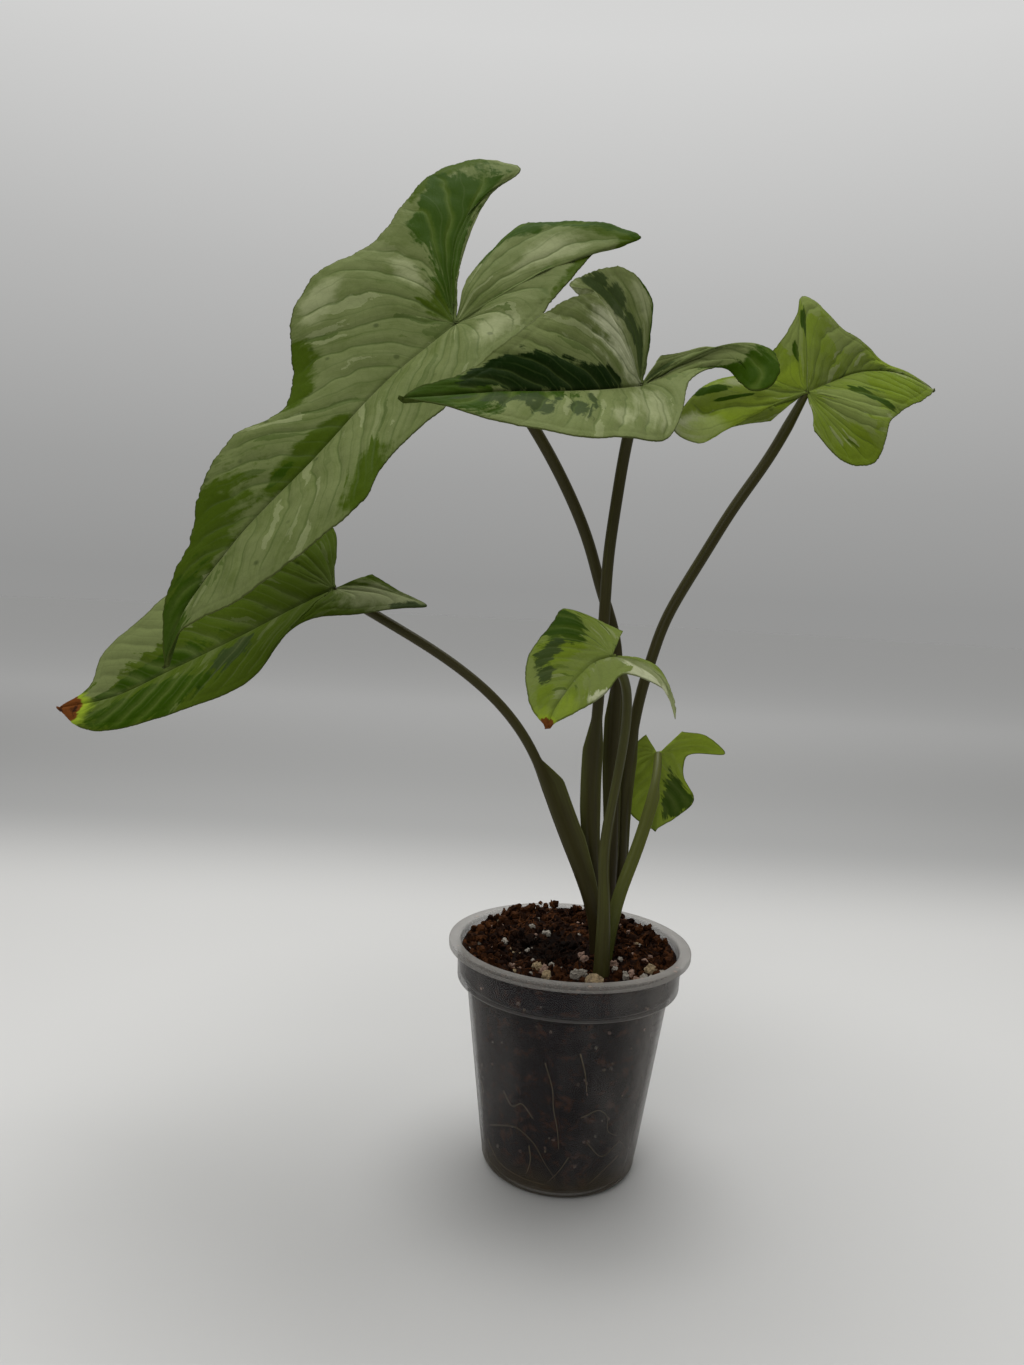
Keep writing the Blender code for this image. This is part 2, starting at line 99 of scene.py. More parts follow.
LEAVES = {
    "top": Leaf(
        place=(-46, -20, 268),
        turn=(-36, 51, -146),
        midrib=[(28, -3, 3), (61.5, -3, 5), (94, -5, 5), (119.5, -4, 2), (131, 0, 0)],
        left=Half(
            ahead=[(121, 1, 5), (110.5, 10, 9), (98.5, 16.5, 12), (81.5, 23.5, 14), (70.5, 26.5, 15),
                   (59.5, 23, 14), (49, 22, 13), (33, 23.5, 10)],
            lobe=[(7, 20.5, 5), (-14.5, 20.5, -1), (-37, 18, -6), (-52, 16, -9), (-67, 21.5, -14),
                  (-65.5, 13, -12), (-56.5, 0, -8), (-48, -9.5, -5), (-32.5, -10.5, -3),
                  (-17.5, -8.5, -1)],
        ),
        right=Half(
            ahead=[(116, -11.5, 3), (101, -15.5, 6), (84.5, -24, 8), (68.5, -26.5, 8), (52.5, -22, 6),
                   (40.5, -29.5, 5), (20.5, -44.5, 6)],
            lobe=[(5, -46, 7), (-13, -40, 6), (-32, -42.5, 4), (-54, -45, 0, 0, -4, 0),
                  (-67.5, -40, -4, 0, -7.5, 0), (-72.5, -28, -8, 0, -10.5, 0),
                  (-54, -26.5, -5, 0, -5.5, 0), (-38.5, -21.5, -2, 0, -2, 0), (-20, -13, 0)],
        ),
        swell=0.05, wave=0.9, ripples=5, veins=(11, 8), ragged=0.4, scallops=0.8,
        fresh=0.04, ground=0.70, mottle=0.30, vein_tone=-0.4,
        patches={
            "right": {
                "cream": [(0.45, 0.86, 0.05, 0.14), (0.56, 0.55, 0.03, 0.22)],
                "pale": [(0.80, 1.04, 0.06, 0.07)],
                "green": [
                    (0.66, 0.12, 0.22, 0.22), (0.70, 0.96, 0.08, 0.12), (0.345, 0.99, 0.06, 0.30),
                    (0.235, 0.10, 0.07, 0.20), (0.07, 0.70, 0.16, 0.72),
                ],
                "deep": [
                    (0.80, 0.42, 0.20, 0.54), (0.69, 0.70, 0.09, 0.24), (0.03, 0.40, 0.07, 0.80),
                    (0.21, 0.16, 0.022, 0.06),
                ],
            },
            "left": {
                # The cream streaks on this half are partly pale variegation and partly painted glossy
                # highlights
                "cream": [(0.52, 0.60, 0.06, 0.30), (0.80, 0.62, 0.05, 0.24)],
                "green": [(0.265, 0.93, 0.045, 0.34), (0.72, 0.96, 0.14, 0.12)],
                "deep": [
                    (0.02, 0.50, 0.035, 0.80), (0.85, 1.03, 0.16, 0.13), (0.90, 0.96, 0.06, 0.22),
                    (0.70, 0.42, 0.014, 0.30),
                ],
            },
        },
    ),
    "middle": Leaf(
        place=(10, -20, 253),
        turn=(-46, 12, -131),
        midrib=[(20.5, 1.5, 1), (44, 2, 2), (65.5, 1, 2), (82, 0, 1), (96.5, -1, 0)],
        left=Half(
            ahead=[(87.5, 3.5, 1), (78.5, 12, 4), (69.5, 17.5, 6), (59, 24.5, 8), (44, 26.5, 8),
                   (23, 27, 7)],
            lobe=[(8, 19, 8), (-6, 9, 9), (-18.5, 6, 11.5), (-27, 6.5, 13),
                  (-25, 14.5, 13, -12.5, -2, 6), (-24, 19, 14, -14, -4.5, 5.5),
                  (-25.5, 21.5, 16, -14.5, -6.5, 5), (-30, 21, 18.5, -13, -7, 4),
                  (-35, 17, 20.5, -10.5, -6, 3.5), (-39, 10.5, 21, -7.5, -4, 3),
                  (-38, 6, 18.5, -4, -2.5, 2), (-34, 3, 15.5, 0, -1.5, 0), (-24.5, -1.5, 13.5),
                  (-16, -3, 10), (-8, -4.5, 7.5)],
        ),
        right=Half(
            ahead=[(92, -2.5, 0.5), (76.5, -4.5, 3), (64, -8, 6), (51, -12.5, 9), (33, -19.5, 12),
                   (23, -21, 14)],
            lobe=[(15.5, -22, 16), (19, -27, 14), (12, -29.5, 16), (4.5, -29, 18.5), (-1, -28, 19.5),
                  (-5.5, -24, 19.5), (-9, -17, 16.5, 0.5, 0, 0), (-7, -13, 12.5), (-5.5, -9, 9.5)],
        ),
        swell=0.05, wave=0.7, ripples=4, veins=(8, 7), ragged=0.25, scallops=0.45,
        fresh=0.1, ground=0.80, mottle=0.28, vein_tone=-0.3,
        patches={
            "right": {
                # The cream and white patches round 0.6 along are partly pale variegation and partly
                # painted highlights in the cupped far lobe
                "cream": [
                    (0.63, 0.52, 0.06, 0.60), (0.66, 0.46, 0.17, 0.80), (0.60, 0.18, 0.12, 0.26),
                    (0.865, 0.78, 0.05, 0.28), (0.70, 1.02, 0.05, 0.12),
                ],
                "white": [(0.63, 0.48, 0.13, 0.48), (0.64, 0.18, 0.14, 0.28)],
                "pale": [(0.73, 0.92, 0.04, 0.24)],
                "deep": [
                    (0.06, 0.45, 0.16, 0.95), (0.95, 0.74, 0.05, 0.34), (0.93, 1.0, 0.09, 0.07),
                ],
                "blue": [
                    (0.73, 0.88, 0.035, 0.15), (0.76, 0.70, 0.036, 0.19),
                    (0.79, 0.48, 0.034, 0.20), (0.83, 0.26, 0.036, 0.22),
                ],
                "dark": [
                    (0.20, 0.58, 0.09, 0.40), (0.29, 0.34, 0.12, 0.42), (0.40, 0.12, 0.11, 0.24),
                ],
            },
            "left": {
                "cream": [(0.30, 0.62, 0.03, 0.22), (0.40, 0.50, 0.08, 0.50)],
                "deep": [
                    (0.04, 0.35, 0.08, 0.90), (0.11, 0.08, 0.15, 0.26), (0.72, 0.97, 0.13, 0.34),
                ],
                "blue": [
                    (0.13, 0.30, 0.09, 0.22), (0.17, 0.52, 0.022, 0.18),
                    (0.225, 0.48, 0.018, 0.22), (0.26, 0.30, 0.014, 0.22),
                    (0.96, 0.40, 0.03, 0.30),
                ],
            },
        },
    ),
    "right": Leaf(
        place=(69.5, 18, 261.5),
        turn=(46, -10, 45),
        midrib=[(18.5, 3.5, 1), (46.5, 8, 2), (82, 7, 1), (99, 0, 0)],
        left=Half(
            ahead=[(89, 7.5, 1), (66.5, 12.5, 4), (50, 18, 8), (38.5, 20.5, 10), (23.5, 31, 15)],
            lobe=[(20.5, 32, 15), (7.5, 24, 12), (-8, 15.5, 4), (-19, 13.5, -3), (-29, 15, -7.5),
                  (-42, 12, -14), (-49.5, 6, -20), (-44.5, -1, -19), (-33.5, -1, -13.5),
                  (-18.5, -4.5, -8)],
        ),
        right=Half(
            ahead=[(90, -3, 0), (70, -8, 1), (49.5, -12.5, 1), (35, -17, 0)],
            lobe=[(26.5, -23, -2), (22, -27, -5), (14.5, -28.5, -7), (8, -28, -8), (0.5, -26, -7),
                  (-5.5, -21.5, -5), (-10, -15, -3)],
        ),
        swell=0.05, wave=0.6, ripples=4, veins=(7, 6), ragged=0.2, scallops=0.35,
        fresh=0.62, ground=0.42, mottle=0.40, vein_tone=-0.25,
        patches={
            "right": {
                "cream": [(0.01, 0.50, 0.03, 0.90)],
                "pale": [(0.62, 0.50, 0.08, 0.36), (0.52, 0.52, 0.07, 0.44)],
                "green": [
                    (0.80, 0.90, 0.12, 0.20), (0.24, 0.62, 0.17, 0.60), (0.70, 0.80, 0.05, 0.30),
                ],
                # These narrow deep lines paint the shade along the fold where the near lobe overlaps
                # the rest of this half
                "deep": [
                    (0.425, 0.60, 0.016, 0.36), (0.455, 0.42, 0.012, 0.22),
                    (0.44, 0.60, 0.012, 0.60),
                ],
            },
            "left": {
                "cream": [(0.70, 0.70, 0.05, 0.30), (0.01, 0.50, 0.03, 0.90)],
                "white": [(0.84, 0.90, 0.05, 0.22)],
                "pale": [
                    (0.53, 0.80, 0.045, 0.30), (0.41, 0.92, 0.035, 0.18), (0.30, 0.78, 0.06, 0.30),
                ],
                "green": [(0.975, 0.40, 0.03, 0.32)],
                "yellow": [
                    (0.87, 0.72, 0.09, 0.50), (0.60, 0.32, 0.12, 0.40), (0.15, 0.70, 0.08, 0.45),
                ],
                "deep": [
                    (0.745, 0.90, 0.018, 0.18), (0.785, 0.64, 0.007, 0.20),
                    (0.455, 0.74, 0.024, 0.20), (0.54, 0.66, 0.018, 0.18),
                ],
            },
        },
    ),
    "left": Leaf(
        place=(-81.5, -6, 188),
        turn=(-46, 26, -170),
        midrib=[(12, 1.5, 1), (26, 4, 2), (52, 7, 3), (75, 6, 1), (91.5, 0.5, 0)],
        left=Half(
            ahead=[(85.5, 12, 0), (71, 20.5, 2), (50, 25, 4), (30, 24.5, 6), (21, 16, 5)],
            lobe=[(12, 11, 4), (-6, 16.5, 2), (-17.5, 19, 0), (-24, 20, -2), (-17.5, 8.5, -1),
                  (-13, 0.5, 0)],
        ),
        right=Half(
            ahead=[(80.5, -1, 1), (73.5, -10.5, 3), (57, -16.5, 5), (47.5, -21.5, 6), (25, -28.5, 6)],
            lobe=[(4.5, -30.5, 4), (-7, -31.5, 0), (-8, -24, 0), (-5, -12.5, 0)],
        ),
        swell=0.05, wave=0.6, ripples=4, veins=(10, 5), ragged=0.15, scallops=0.3,
        fresh=0.1, ground=0.08, mottle=0.12, vein_tone=0.4,
        patches={
            "right": {
                "pale": [(0.25, 0.88, 0.17, 0.50), (0.11, 0.55, 0.07, 0.30)],
                "yellow": [(0.04, 0.60, 0.04, 0.60)],
                "deep": [(0.22, 0.14, 0.16, 0.16)],
                "dry": [(0.005, 0.50, 0.055, 1.30)],
            },
            "left": {
                "cream": [(0.84, 0.50, 0.18, 0.90)],
                "yellow": [(0.05, 0.60, 0.05, 0.60)],
                "deep": [(0.20, 0.62, 0.14, 0.44)],
                "blue": [(0.36, 0.36, 0.04, 0.22), (0.83, 1.02, 0.05, 0.20)],
                "dry": [(0.005, 0.50, 0.055, 1.30)],
            },
        },
    ),
    "front": Leaf(
        place=(4.5, -40, 173.5),
        turn=(-19, 29, -125),
        midrib=[(4, -2.5, 0), (12.5, -3, 1), (24, -2, 2), (32.5, -1, 1), (36.5, 0, 0)],
        left=Half(
            ahead=[(30.5, 3, 1), (19, 7, 2), (7.5, 8, 2)],
            lobe=[(3.5, 13, 0), (2, 17.5, -2, -1, 0, 0), (8, 24.5, -6, -4.5, 2.5, 1),
                  (3, 21, -3, -3, 1.5, 0.5), (-3.5, 12.5, 0, -0.5, 0, 0), (-4, 7, 0)],
        ),
        right=Half(
            ahead=[(35, -5, 1), (29, -11, 2), (17.5, -17.5, 3), (7.5, -19.5, 3)],
            lobe=[(-2, -20.5, 3), (-9, -21.5, 2), (-13.5, -17.5, 0), (-15, -4, -2)],
        ),
        swell=0.05, wave=0.4, ripples=3, veins=(6, 5), ragged=0.15, scallops=0.25,
        fresh=0.66, ground=0.56, mottle=0.36, vein_tone=0.3,
        patches={
            "right": {
                "cream": [(0.28, 1.04, 0.13, 0.34)],
                "pale": [(0.28, 1.00, 0.13, 0.34)],
                "green": [(0.44, 0.62, 0.16, 0.36), (0.15, 0.55, 0.08, 0.26)],
                "yellow": [(0.05, 0.50, 0.06, 0.90)],
                "deep": [(0.62, 0.80, 0.17, 0.42)],
                "blue": [(0.42, 0.72, 0.14, 0.18), (0.27, 0.58, 0.07, 0.15)],
                "dry": [(0.00, 0.60, 0.045, 1.10)],
            },
            "left": {
                "cream": [(0.36, 0.64, 0.20, 0.56), (0.62, 0.60, 0.36, 1.20)],
                "white": [(0.27, 0.86, 0.10, 0.36), (0.50, 0.80, 0.14, 0.50)],
                "pale": [(0.34, 0.62, 0.14, 0.40)],
                "green": [(0.14, 0.30, 0.05, 0.25)],
                "yellow": [(0.08, 0.50, 0.08, 0.90)],
                "dry": [(0.00, 0.40, 0.035, 1.10)],
            },
        },
    ),
    "back": Leaf(
        place=(28.5, 22, 136.5),
        turn=(175, 77, -95),
        midrib=[(9, 0.3, 0.5), (19.5, 0, 0.5), (26.5, 0, 0)],
        left=Half(
            ahead=[(21.5, -7.5, 1), (15, -13.5, 1), (6.5, -9.5, 1)],
            lobe=[(0.5, -10, 1), (-2, -23.5, 0, -2.5, 0, 0), (-7.5, -16.5, 0), (-8.5, -8, 0)],
        ),
        right=Half(
            ahead=[(22, 7.5, 1), (18, 10.5, 1), (6, 10, 1)],
            lobe=[(-2, 9, 1), (-6.5, 4.5, 0)],
        ),
        swell=0.05, wave=0.3, ripples=3, veins=(5, 4), ragged=0.1, scallops=0.2,
        # Its strong yellow green is partly the young blade's tone and partly painted light shining
        # through it
        fresh=1.2, ground=0.30, mottle=0.14, vein_tone=0.25,
        patches={
            "right": {
                "yellow": [(0.50, 0.50, 0.60, 0.90)],
            },
            "left": {
                "yellow": [(0.74, 0.62, 0.30, 1.00), (0.15, 0.20, 0.15, 0.40)],
                "deep": [(0.24, 0.60, 0.15, 0.46)],
            },
        },
    ),
}

# Each stalk stands upright in the soil at its base, then runs through its path to its blade. Its
# sheath ends at a share of its length, and its wings widen it to the left and to the right.
STALKS = {
    "top": Stalk(
        base=(13.9, 5.9),
        path=[(13, 7, 86.5), (13, 6.5, 102), (12, 6, 122.5), (11, 5.5, 143), (11, 5, 159.5),
              (10.5, 4.5, 173), (7.5, 3, 183.5), (3.5, 2, 192), (1, 1, 201), (-2.5, -1, 210),
              (-7, -3, 219), (-14, -6, 231), (-20.5, -9, 240.5), (-32, -12, 255)],
        base_radius=2.2, radius=1.85, sheath_end=0.4, wings=(1.6, 0.9), tint=0.0,
    ),
    "middle": Stalk(
        base=(9.2, 5.0),
        path=[(8.5, 3.4, 87.5), (6, 2, 103.5), (4.5, 0.5, 120.5), (4, -1.5, 137.5), (4.5, -3.5, 154),
              (4.5, -5, 170), (4.5, -6.5, 186), (4.5, -8, 204), (5.5, -9, 215.5), (6.5, -10.5, 227.5),
              (7.5, -12.5, 237.5)],
        base_radius=2.2, radius=1.8, sheath_end=0.42, wings=(1.9, 1.3), tint=0.1,
    ),
    "right": Stalk(
        base=(14.6, 10.7),
        path=[(16.5, 10.5, 86), (16.5, 10, 101.5), (16, 9.5, 115), (16, 9.5, 127.5),
              (17.5, 10, 142.5), (19.5, 10.5, 158), (23, 11, 171.5), (25.5, 11.5, 181.5),
              (31.5, 12.5, 193.5), (39, 13.5, 207), (46, 14.5, 220), (58.5, 16, 239.5)],
        base_radius=2.2, radius=1.85, sheath_end=0.36, wings=(0.4, 1.2), tint=0.1,
    ),
    "left": Stalk(
        base=(8.8, 0.2),
        path=[(7, -3.2, 86.5), (1, -5, 102), (-5.5, -5.5, 116), (-11, -5.5, 129.5),
              (-15.5, -5.5, 139.5), (-20.5, -5.5, 147), (-30.5, -5, 157.5), (-40, -4, 164.5),
              (-47, -3.5, 169), (-57, -3, 174.5), (-70, -4, 181.5)],
        base_radius=2.2, radius=1.6, sheath_end=0.44, wings=(0.3, 4.2), tint=0.0,
    ),
    "front": Stalk(
        base=(9.5, -16),
        path=[(9.5, -15, 83.5), (9.5, -14, 92.5), (8, -14, 108.5), (9, -15, 120.5),
              (10.5, -17, 133.5), (11.5, -21, 145.5), (11.5, -26, 157), (10, -32, 166.5)],
        base_radius=3.2, radius=1.45, sheath_end=0.5, wings=(0.3, 0.3), tint=0.38,
    ),
    "back": Stalk(
        base=(12.2, -4.2),
        path=[(12.5, -5, 84), (14, -5, 93), (18.5, -2, 104.5), (22.5, 3, 115.5), (25, 7, 123),
              (27.5, 13, 130)],
        base_radius=1.9, radius=1.45, sheath_end=0.8, wings=(0.2, 1.2), tint=1.4,
    ),
}

# Grains that lie on the soil, as x, y, width and tone: 0 is white, 1 is tan and 2 is pink.
GRAINS = [
    (-12.0, 17.0, 2.6, 0), (-6.5, 13.5, 2.4, 0), (-21.5, 3.0, 2.8, 0), (-11.0, -15.5, 3.4, 1),
    (-8.5, -14.0, 2.6, 2), (-9.0, -18.0, 3.0, 2), (-8.0, -21.0, 3.6, 1), (-6.0, -12.5, 2.4, 0),
    (1.0, -20.0, 4.2, 0), (3.5, -18.0, 3.6, 0), (6.5, -24.5, 5.6, 1), (3.5, -5.0, 3.2, 2),
    (4.5, -9.0, 3.0, 2), (14.0, -9.5, 3.2, 2), (14.0, -15.0, 3.0, 0), (16.5, -19.0, 3.4, 0),
    (19.0, -17.0, 3.0, 2), (24.5, -7.0, 2.8, 2), (25.5, -14.5, 4.2, 1), (28.5, -15.5, 2.8, 0),
    (22.5, -19.0, 3.2, 0), (25.0, -18.5, 3.0, 0), (20.5, -21.5, 3.8, 2), (27.0, -10.0, 2.4, 1),
]

# Roots that show through the wall, as turns in degrees from the front, positive to the right, and
# heights in millimetres.
ROOTS = [
    [(-14, 47), (-9, 38), (-8, 32), (-5, 25), (-3, 18)],
    [(6, 51), (10, 44), (12, 38)],
    [(-62, 17), (-48, 20), (-34, 22), (-22, 19), (-12, 12), (-4, 7)],
    [(-24, 17), (-23, 12), (-26, 7)],
    [(4, 15), (-2, 10), (-9, 6)],
    [(10, 29), (22, 31), (29, 28), (31, 23), (40, 20)],
    [(46, 12), (34, 9), (22, 5)],
    [(-70, 10), (-52, 6), (-34, 5), (-12, 4.5)],
    [(16, 20), (30, 14), (44, 17), (58, 11)],
    [(-44, 33), (-36, 29), (-30, 31), (-21, 27)],
]


def length_setting(name, description, default):
    return bpy.props.FloatProperty(
        name=name, description=description, default=default, unit="LENGTH",
    )


def colour_setting(name, description, default):
    return bpy.props.FloatVectorProperty(
        name=name, description=description, default=default, subtype="COLOR", size=3,
    )


class PlantSettings(bpy.types.PropertyGroup):
    """Sizes and colours of the leaves, the stalks, the potting mix and the pot."""

    blade_thickness: length_setting(
        "Blade thickness", "Thickness of a blade away from its midrib", 0.0005,
    )
    vein_depth: length_setting("Vein depth", "How far a side vein is sunk in the blade", 0.00022)
    quilting: length_setting("Quilting", "How far the blade swells up between two veins", 0.00034)
    leaf_green: colour_setting("Leaf green", "Green of a full-grown blade", (0.040, 0.068, 0.004))
    leaf_deep: colour_setting("Deep green", "Deep clear green near a tip", (0.026, 0.056, 0.002))
    leaf_dark: colour_setting("Dark green", "Darkest of the variegation", (0.0068, 0.018, 0.0022))
    leaf_pale: colour_setting("Pale green", "Grey-green of the variegation", (0.142, 0.168, 0.064))
    # Cream is the palest variegation, and is also laid where highlights are painted on the blades
    leaf_cream: colour_setting("Cream", "Palest tone of the variegation", (0.27, 0.295, 0.150))
    # White is nearly white variegation, and also paints highlights on the middle blade
    leaf_white: colour_setting("White", "Nearly white parts of the leaves", (0.47, 0.49, 0.31))
    # The yellow green is made brighter than a young blade's own tone, to paint the light that shines
    # through it
    leaf_yellow: colour_setting("Yellow green", "Vivid tone of a young blade", (0.235, 0.320, 0.024))
    leaf_blue: colour_setting("Blue green", "Greyish tone of small blotches", (0.030, 0.048, 0.014))
    leaf_dry: colour_setting("Dry tip", "Brown of a dried tip", (0.13, 0.042, 0.010))
    stalk_brown: colour_setting("Stalk", "Brownish olive of the leaf stalks", (0.036, 0.031, 0.0085))
    stalk_green: colour_setting(
        "Young stalk", "Green of the young stalks and the sheath edges", (0.088, 0.098, 0.020),
    )
    plastic: colour_setting("Plastic", "Tint of the clear plastic", (0.034, 0.033, 0.036))
    haze: bpy.props.FloatProperty(
        name="Haze", description="How cloudy the wall of the pot is", default=0.23, min=0.0, max=1.0,
    )
    soil_dark: colour_setting("Peat", "Dark brown of the damp potting mix", (0.0085, 0.0035, 0.0020))
    soil_red: colour_setting("Coir", "Reddish brown of the coconut fibre", (0.095, 0.034, 0.011))
    crumbs: bpy.props.IntProperty(
        name="Crumbs", description="Crumbs of potting mix that lie on top", default=1300, min=0,
    )
    fibres: bpy.props.IntProperty(
        name="Fibres", description="Coconut fibres in the top of the potting mix", default=240, min=0,
    )


def settings():
    return bpy.context.scene.arrowhead_plant


class Value:
    """A socket of a node, on which sums can be written with numbers and other sockets."""

    def __init__(self, shader, socket):
        self.shader = shader
        self.socket = socket

    def sum_with(self, operation, first, second):
        """A Math node, or a Vector Math node where a socket isn't a plain number."""
        kind = "ShaderNodeMath"
        if any(isinstance(each, Value) and each.socket.type != "VALUE" for each in (first, second)):
            kind = "ShaderNodeVectorMath"
            first, second = (
                each if isinstance(each, Value) else (each,) * 3 for each in (first, second)
            )
        return self.shader.node(kind, {"operation": operation}, {0: first, 1: second})

    def __add__(self, other):
        return self.sum_with("ADD", self, other)

    def __sub__(self, other):
        return self.sum_with("SUBTRACT", self, other)

    def __rsub__(self, other):
        return self.sum_with("SUBTRACT", other, self)

    def __mul__(self, other):
        return self.sum_with("MULTIPLY", self, other)

    def __truediv__(self, other):
        return self.sum_with("DIVIDE", self, other)

    def __rtruediv__(self, other):
        return self.sum_with("DIVIDE", other, self)

    def __pow__(self, other):
        return self.sum_with("POWER", self, other)

    def __rpow__(self, other):
        return self.sum_with("POWER", other, self)

    __radd__ = __add__
    __rmul__ = __mul__


class Nodes:
    """The node tree of a world or a material, whose nodes are made by one method."""

    def __init__(self, owner, end):
        owner.use_nodes = True
        self.owner = owner
        self.tree = owner.node_tree
        self.last = self.tree.nodes[end]

    def node(self, kind, choices=None, sockets=None, output=0):
        """A node of a kind, with its settings and then the values or links of its sockets."""
        made = self.tree.nodes.new(kind)
        for name, choice in (choices or {}).items():
            if name == "stops":
                self.set_stops(made.color_ramp.elements, choice)
            else:
                setattr(made, name, choice)
        for name, value in (sockets or {}).items():
            self.feed(made.inputs[name], value)
        return Value(self, made.outputs[output])

    @staticmethod
    def set_stops(elements, stops):
        while len(elements) < len(stops):
            elements.new(1.0)
        for element, (place, tone) in zip(elements, stops):
            element.position, element.color = place, (*tone, 1.0)

    def feed(self, socket, value):
        if isinstance(value, Value):
            self.tree.links.new(value.socket, socket)
        elif socket.type == "RGBA":
            socket.default_value = (*value, 1.0)
        else:
            socket.default_value = value

    def end(self, **sockets):
        """Feeds sockets of the last node and returns the owner."""
        for name, value in sockets.items():
            self.feed(self.last.inputs[name.replace("_", " ")], value)
        return self.owner

    def axis(self, where, index):
        return self.node("ShaderNodeSeparateXYZ", sockets={"Vector": where}, output=index)


class Shader(Nodes):
    """A material around one Principled BSDF, some of whose sockets are constant."""

    def __init__(self, name, **constants):
        super().__init__(bpy.data.materials.new(name), "Principled BSDF")
        self.end(**constants)

    def place(self, stretch=(1.0, 1.0, 1.0)):
        where = self.node("ShaderNodeTexCoord", output=3)
        return self.node("ShaderNodeMapping", sockets={"Vector": where, "Scale": stretch})

    def on_map(self, stretch):
        where = self.node("ShaderNodeUVMap", {"uv_map": "UVMap"})
        return self.node("ShaderNodeMapping", sockets={"Vector": where, "Scale": (*stretch, 1.0)})

    def attribute(self, name):
        return self.node("ShaderNodeAttribute", {"attribute_name": name}, output=2)

    def noise(self, where, scale, detail=3.0, roughness=0.55, output=0):
        return self.node("ShaderNodeTexNoise", sockets={
            "Vector": where, "Scale": scale, "Detail": detail, "Roughness": roughness,
        }, output=output)

    def cells(self, where, scale, feature="DISTANCE_TO_EDGE", output=0):
        sockets = {"Vector": where, "Scale": scale}
        return self.node("ShaderNodeTexVoronoi", {"feature": feature}, sockets, output)

    def vein(self, index, spacing, count):
        """Millimetres to the nearest vein, where a whole step of the index has so many veins."""
        share = self.node("ShaderNodeMath", {"operation": "PINGPONG"}, {0: index * count, 1: 0.5})
        return share * spacing / count

    def ease(self, value, low, high):
        """0 up to low, 1 from high, and smooth between, or the other way round where low > high."""
        return self.node("ShaderNodeMapRange", {"interpolation_type": "SMOOTHSTEP"}, {
            "Value": value, "From Min": low, "From Max": high,
        })

    def mix(self, mask, first, second):
        sockets = {0: mask, 6: first, 7: second}
        return self.node("ShaderNodeMix", {"data_type": "RGBA"}, sockets, output=2)

    def layers(self, colour, *coats):
        """Lays tones over a colour one after another, each where its mask is."""
        for mask, tone in coats:
            colour = self.mix(mask, colour, tone)
        return colour

    def bump(self, height, distance, strength):
        return self.node("ShaderNodeBump", sockets={
            "Height": height, "Distance": distance, "Strength": strength,
        })


class Curve:
    """A smooth curve through points, read by the length along their chords."""

    def __init__(self, points, marks=None):
        self.points = np.array(points, float)
        if marks is None:
            chords = np.linalg.norm(np.diff(self.points, axis=0), axis=1)
            marks = np.concatenate([[0.0], np.cumsum(chords)])
        self.marks = marks
        self.slopes = np.gradient(self.points, marks, axis=0)

    def __call__(self, at):
        at = np.clip(np.atleast_1d(at), 0.0, self.marks[-1])
        left = np.clip(np.searchsorted(self.marks, at, side="right") - 1, 0, len(self.marks) - 2)
        span = (self.marks[left + 1] - self.marks[left])[:, None]
        share = (at - self.marks[left])[:, None] / span
        square, cube = share**2, share**3
        return (
            (2 * cube - 3 * square + 1) * self.points[left]
            + (cube - 2 * square + share) * span * self.slopes[left]
            + (3 * square - 2 * cube) * self.points[left + 1]
            + (cube - square) * span * self.slopes[left + 1]
        )


def linked(name, data):
    """A new object of the scene."""
    made = bpy.data.objects.new(name, data)
    bpy.context.scene.collection.objects.link(made)
    return made


def meshed(bm, name, *materials):
    """A new object made of a bmesh in metres, which is used up."""
    mesh = bpy.data.meshes.new(name)
    bm.to_mesh(mesh)
    bm.free()
    for material in materials:
        mesh.materials.append(material)
    return linked(name, mesh)


def toned():
    """An empty bmesh, and its layer for the tone of each point."""
    bm = bmesh.new()
    return bm, bm.verts.layers.float.new("tone")


def finished(bm, name, materials, replaced=(), sharp=None):
    """A smooth piece made of a bmesh, riding on the plant, with edges sharp from an angle."""
    piece = meshed(bm, name, *materials)
    piece.data.shade_smooth()
    if sharp:
        piece.data.set_sharp_from_angle(angle=math.radians(sharp))
    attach(piece, "root")
    if replaced:
        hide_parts(*replaced)
    return piece


def fixed(piece):
    """Applies a piece's modifiers to its mesh."""
    graph = bpy.context.evaluated_depsgraph_get()
    mesh = bpy.data.meshes.new_from_object(piece.evaluated_get(graph))
    piece.modifiers.clear()
    piece.data = mesh


# Leaf blades

HALVES = ("right", "left")
ROW_LENGTH = 0.75
COLUMN_LENGTH = 0.7
# Width of half a blade beyond which it gets no more rows
MOST_WIDTH = 42.0
VEIN_BEND = 1.4
MOST_SPACING = 14.0
# The margin's own vein runs so far inside it, and the relief fades out near the margin and midrib.
BOUND_INSET = 2.6
BOUND_WIDTH = 0.5
CALM_BORDER = 5.0
# Spacing of veins from which the blade is quilted in full
WIDE_SPACING = 9.0
VEIN_WIDTH = 0.7
GROOVE_WIDTH = 0.9
GROOVE_DEPTH = 0.45
MIDRIB_WIDTH = 1.4
THIN_EDGE = 0.8
# Share of the solidified thickness that a blade has away from its midrib and margin
PLAIN_SHARE = 0.42
# How far apart the two halves are on the map
HALF_STEP = 40.0
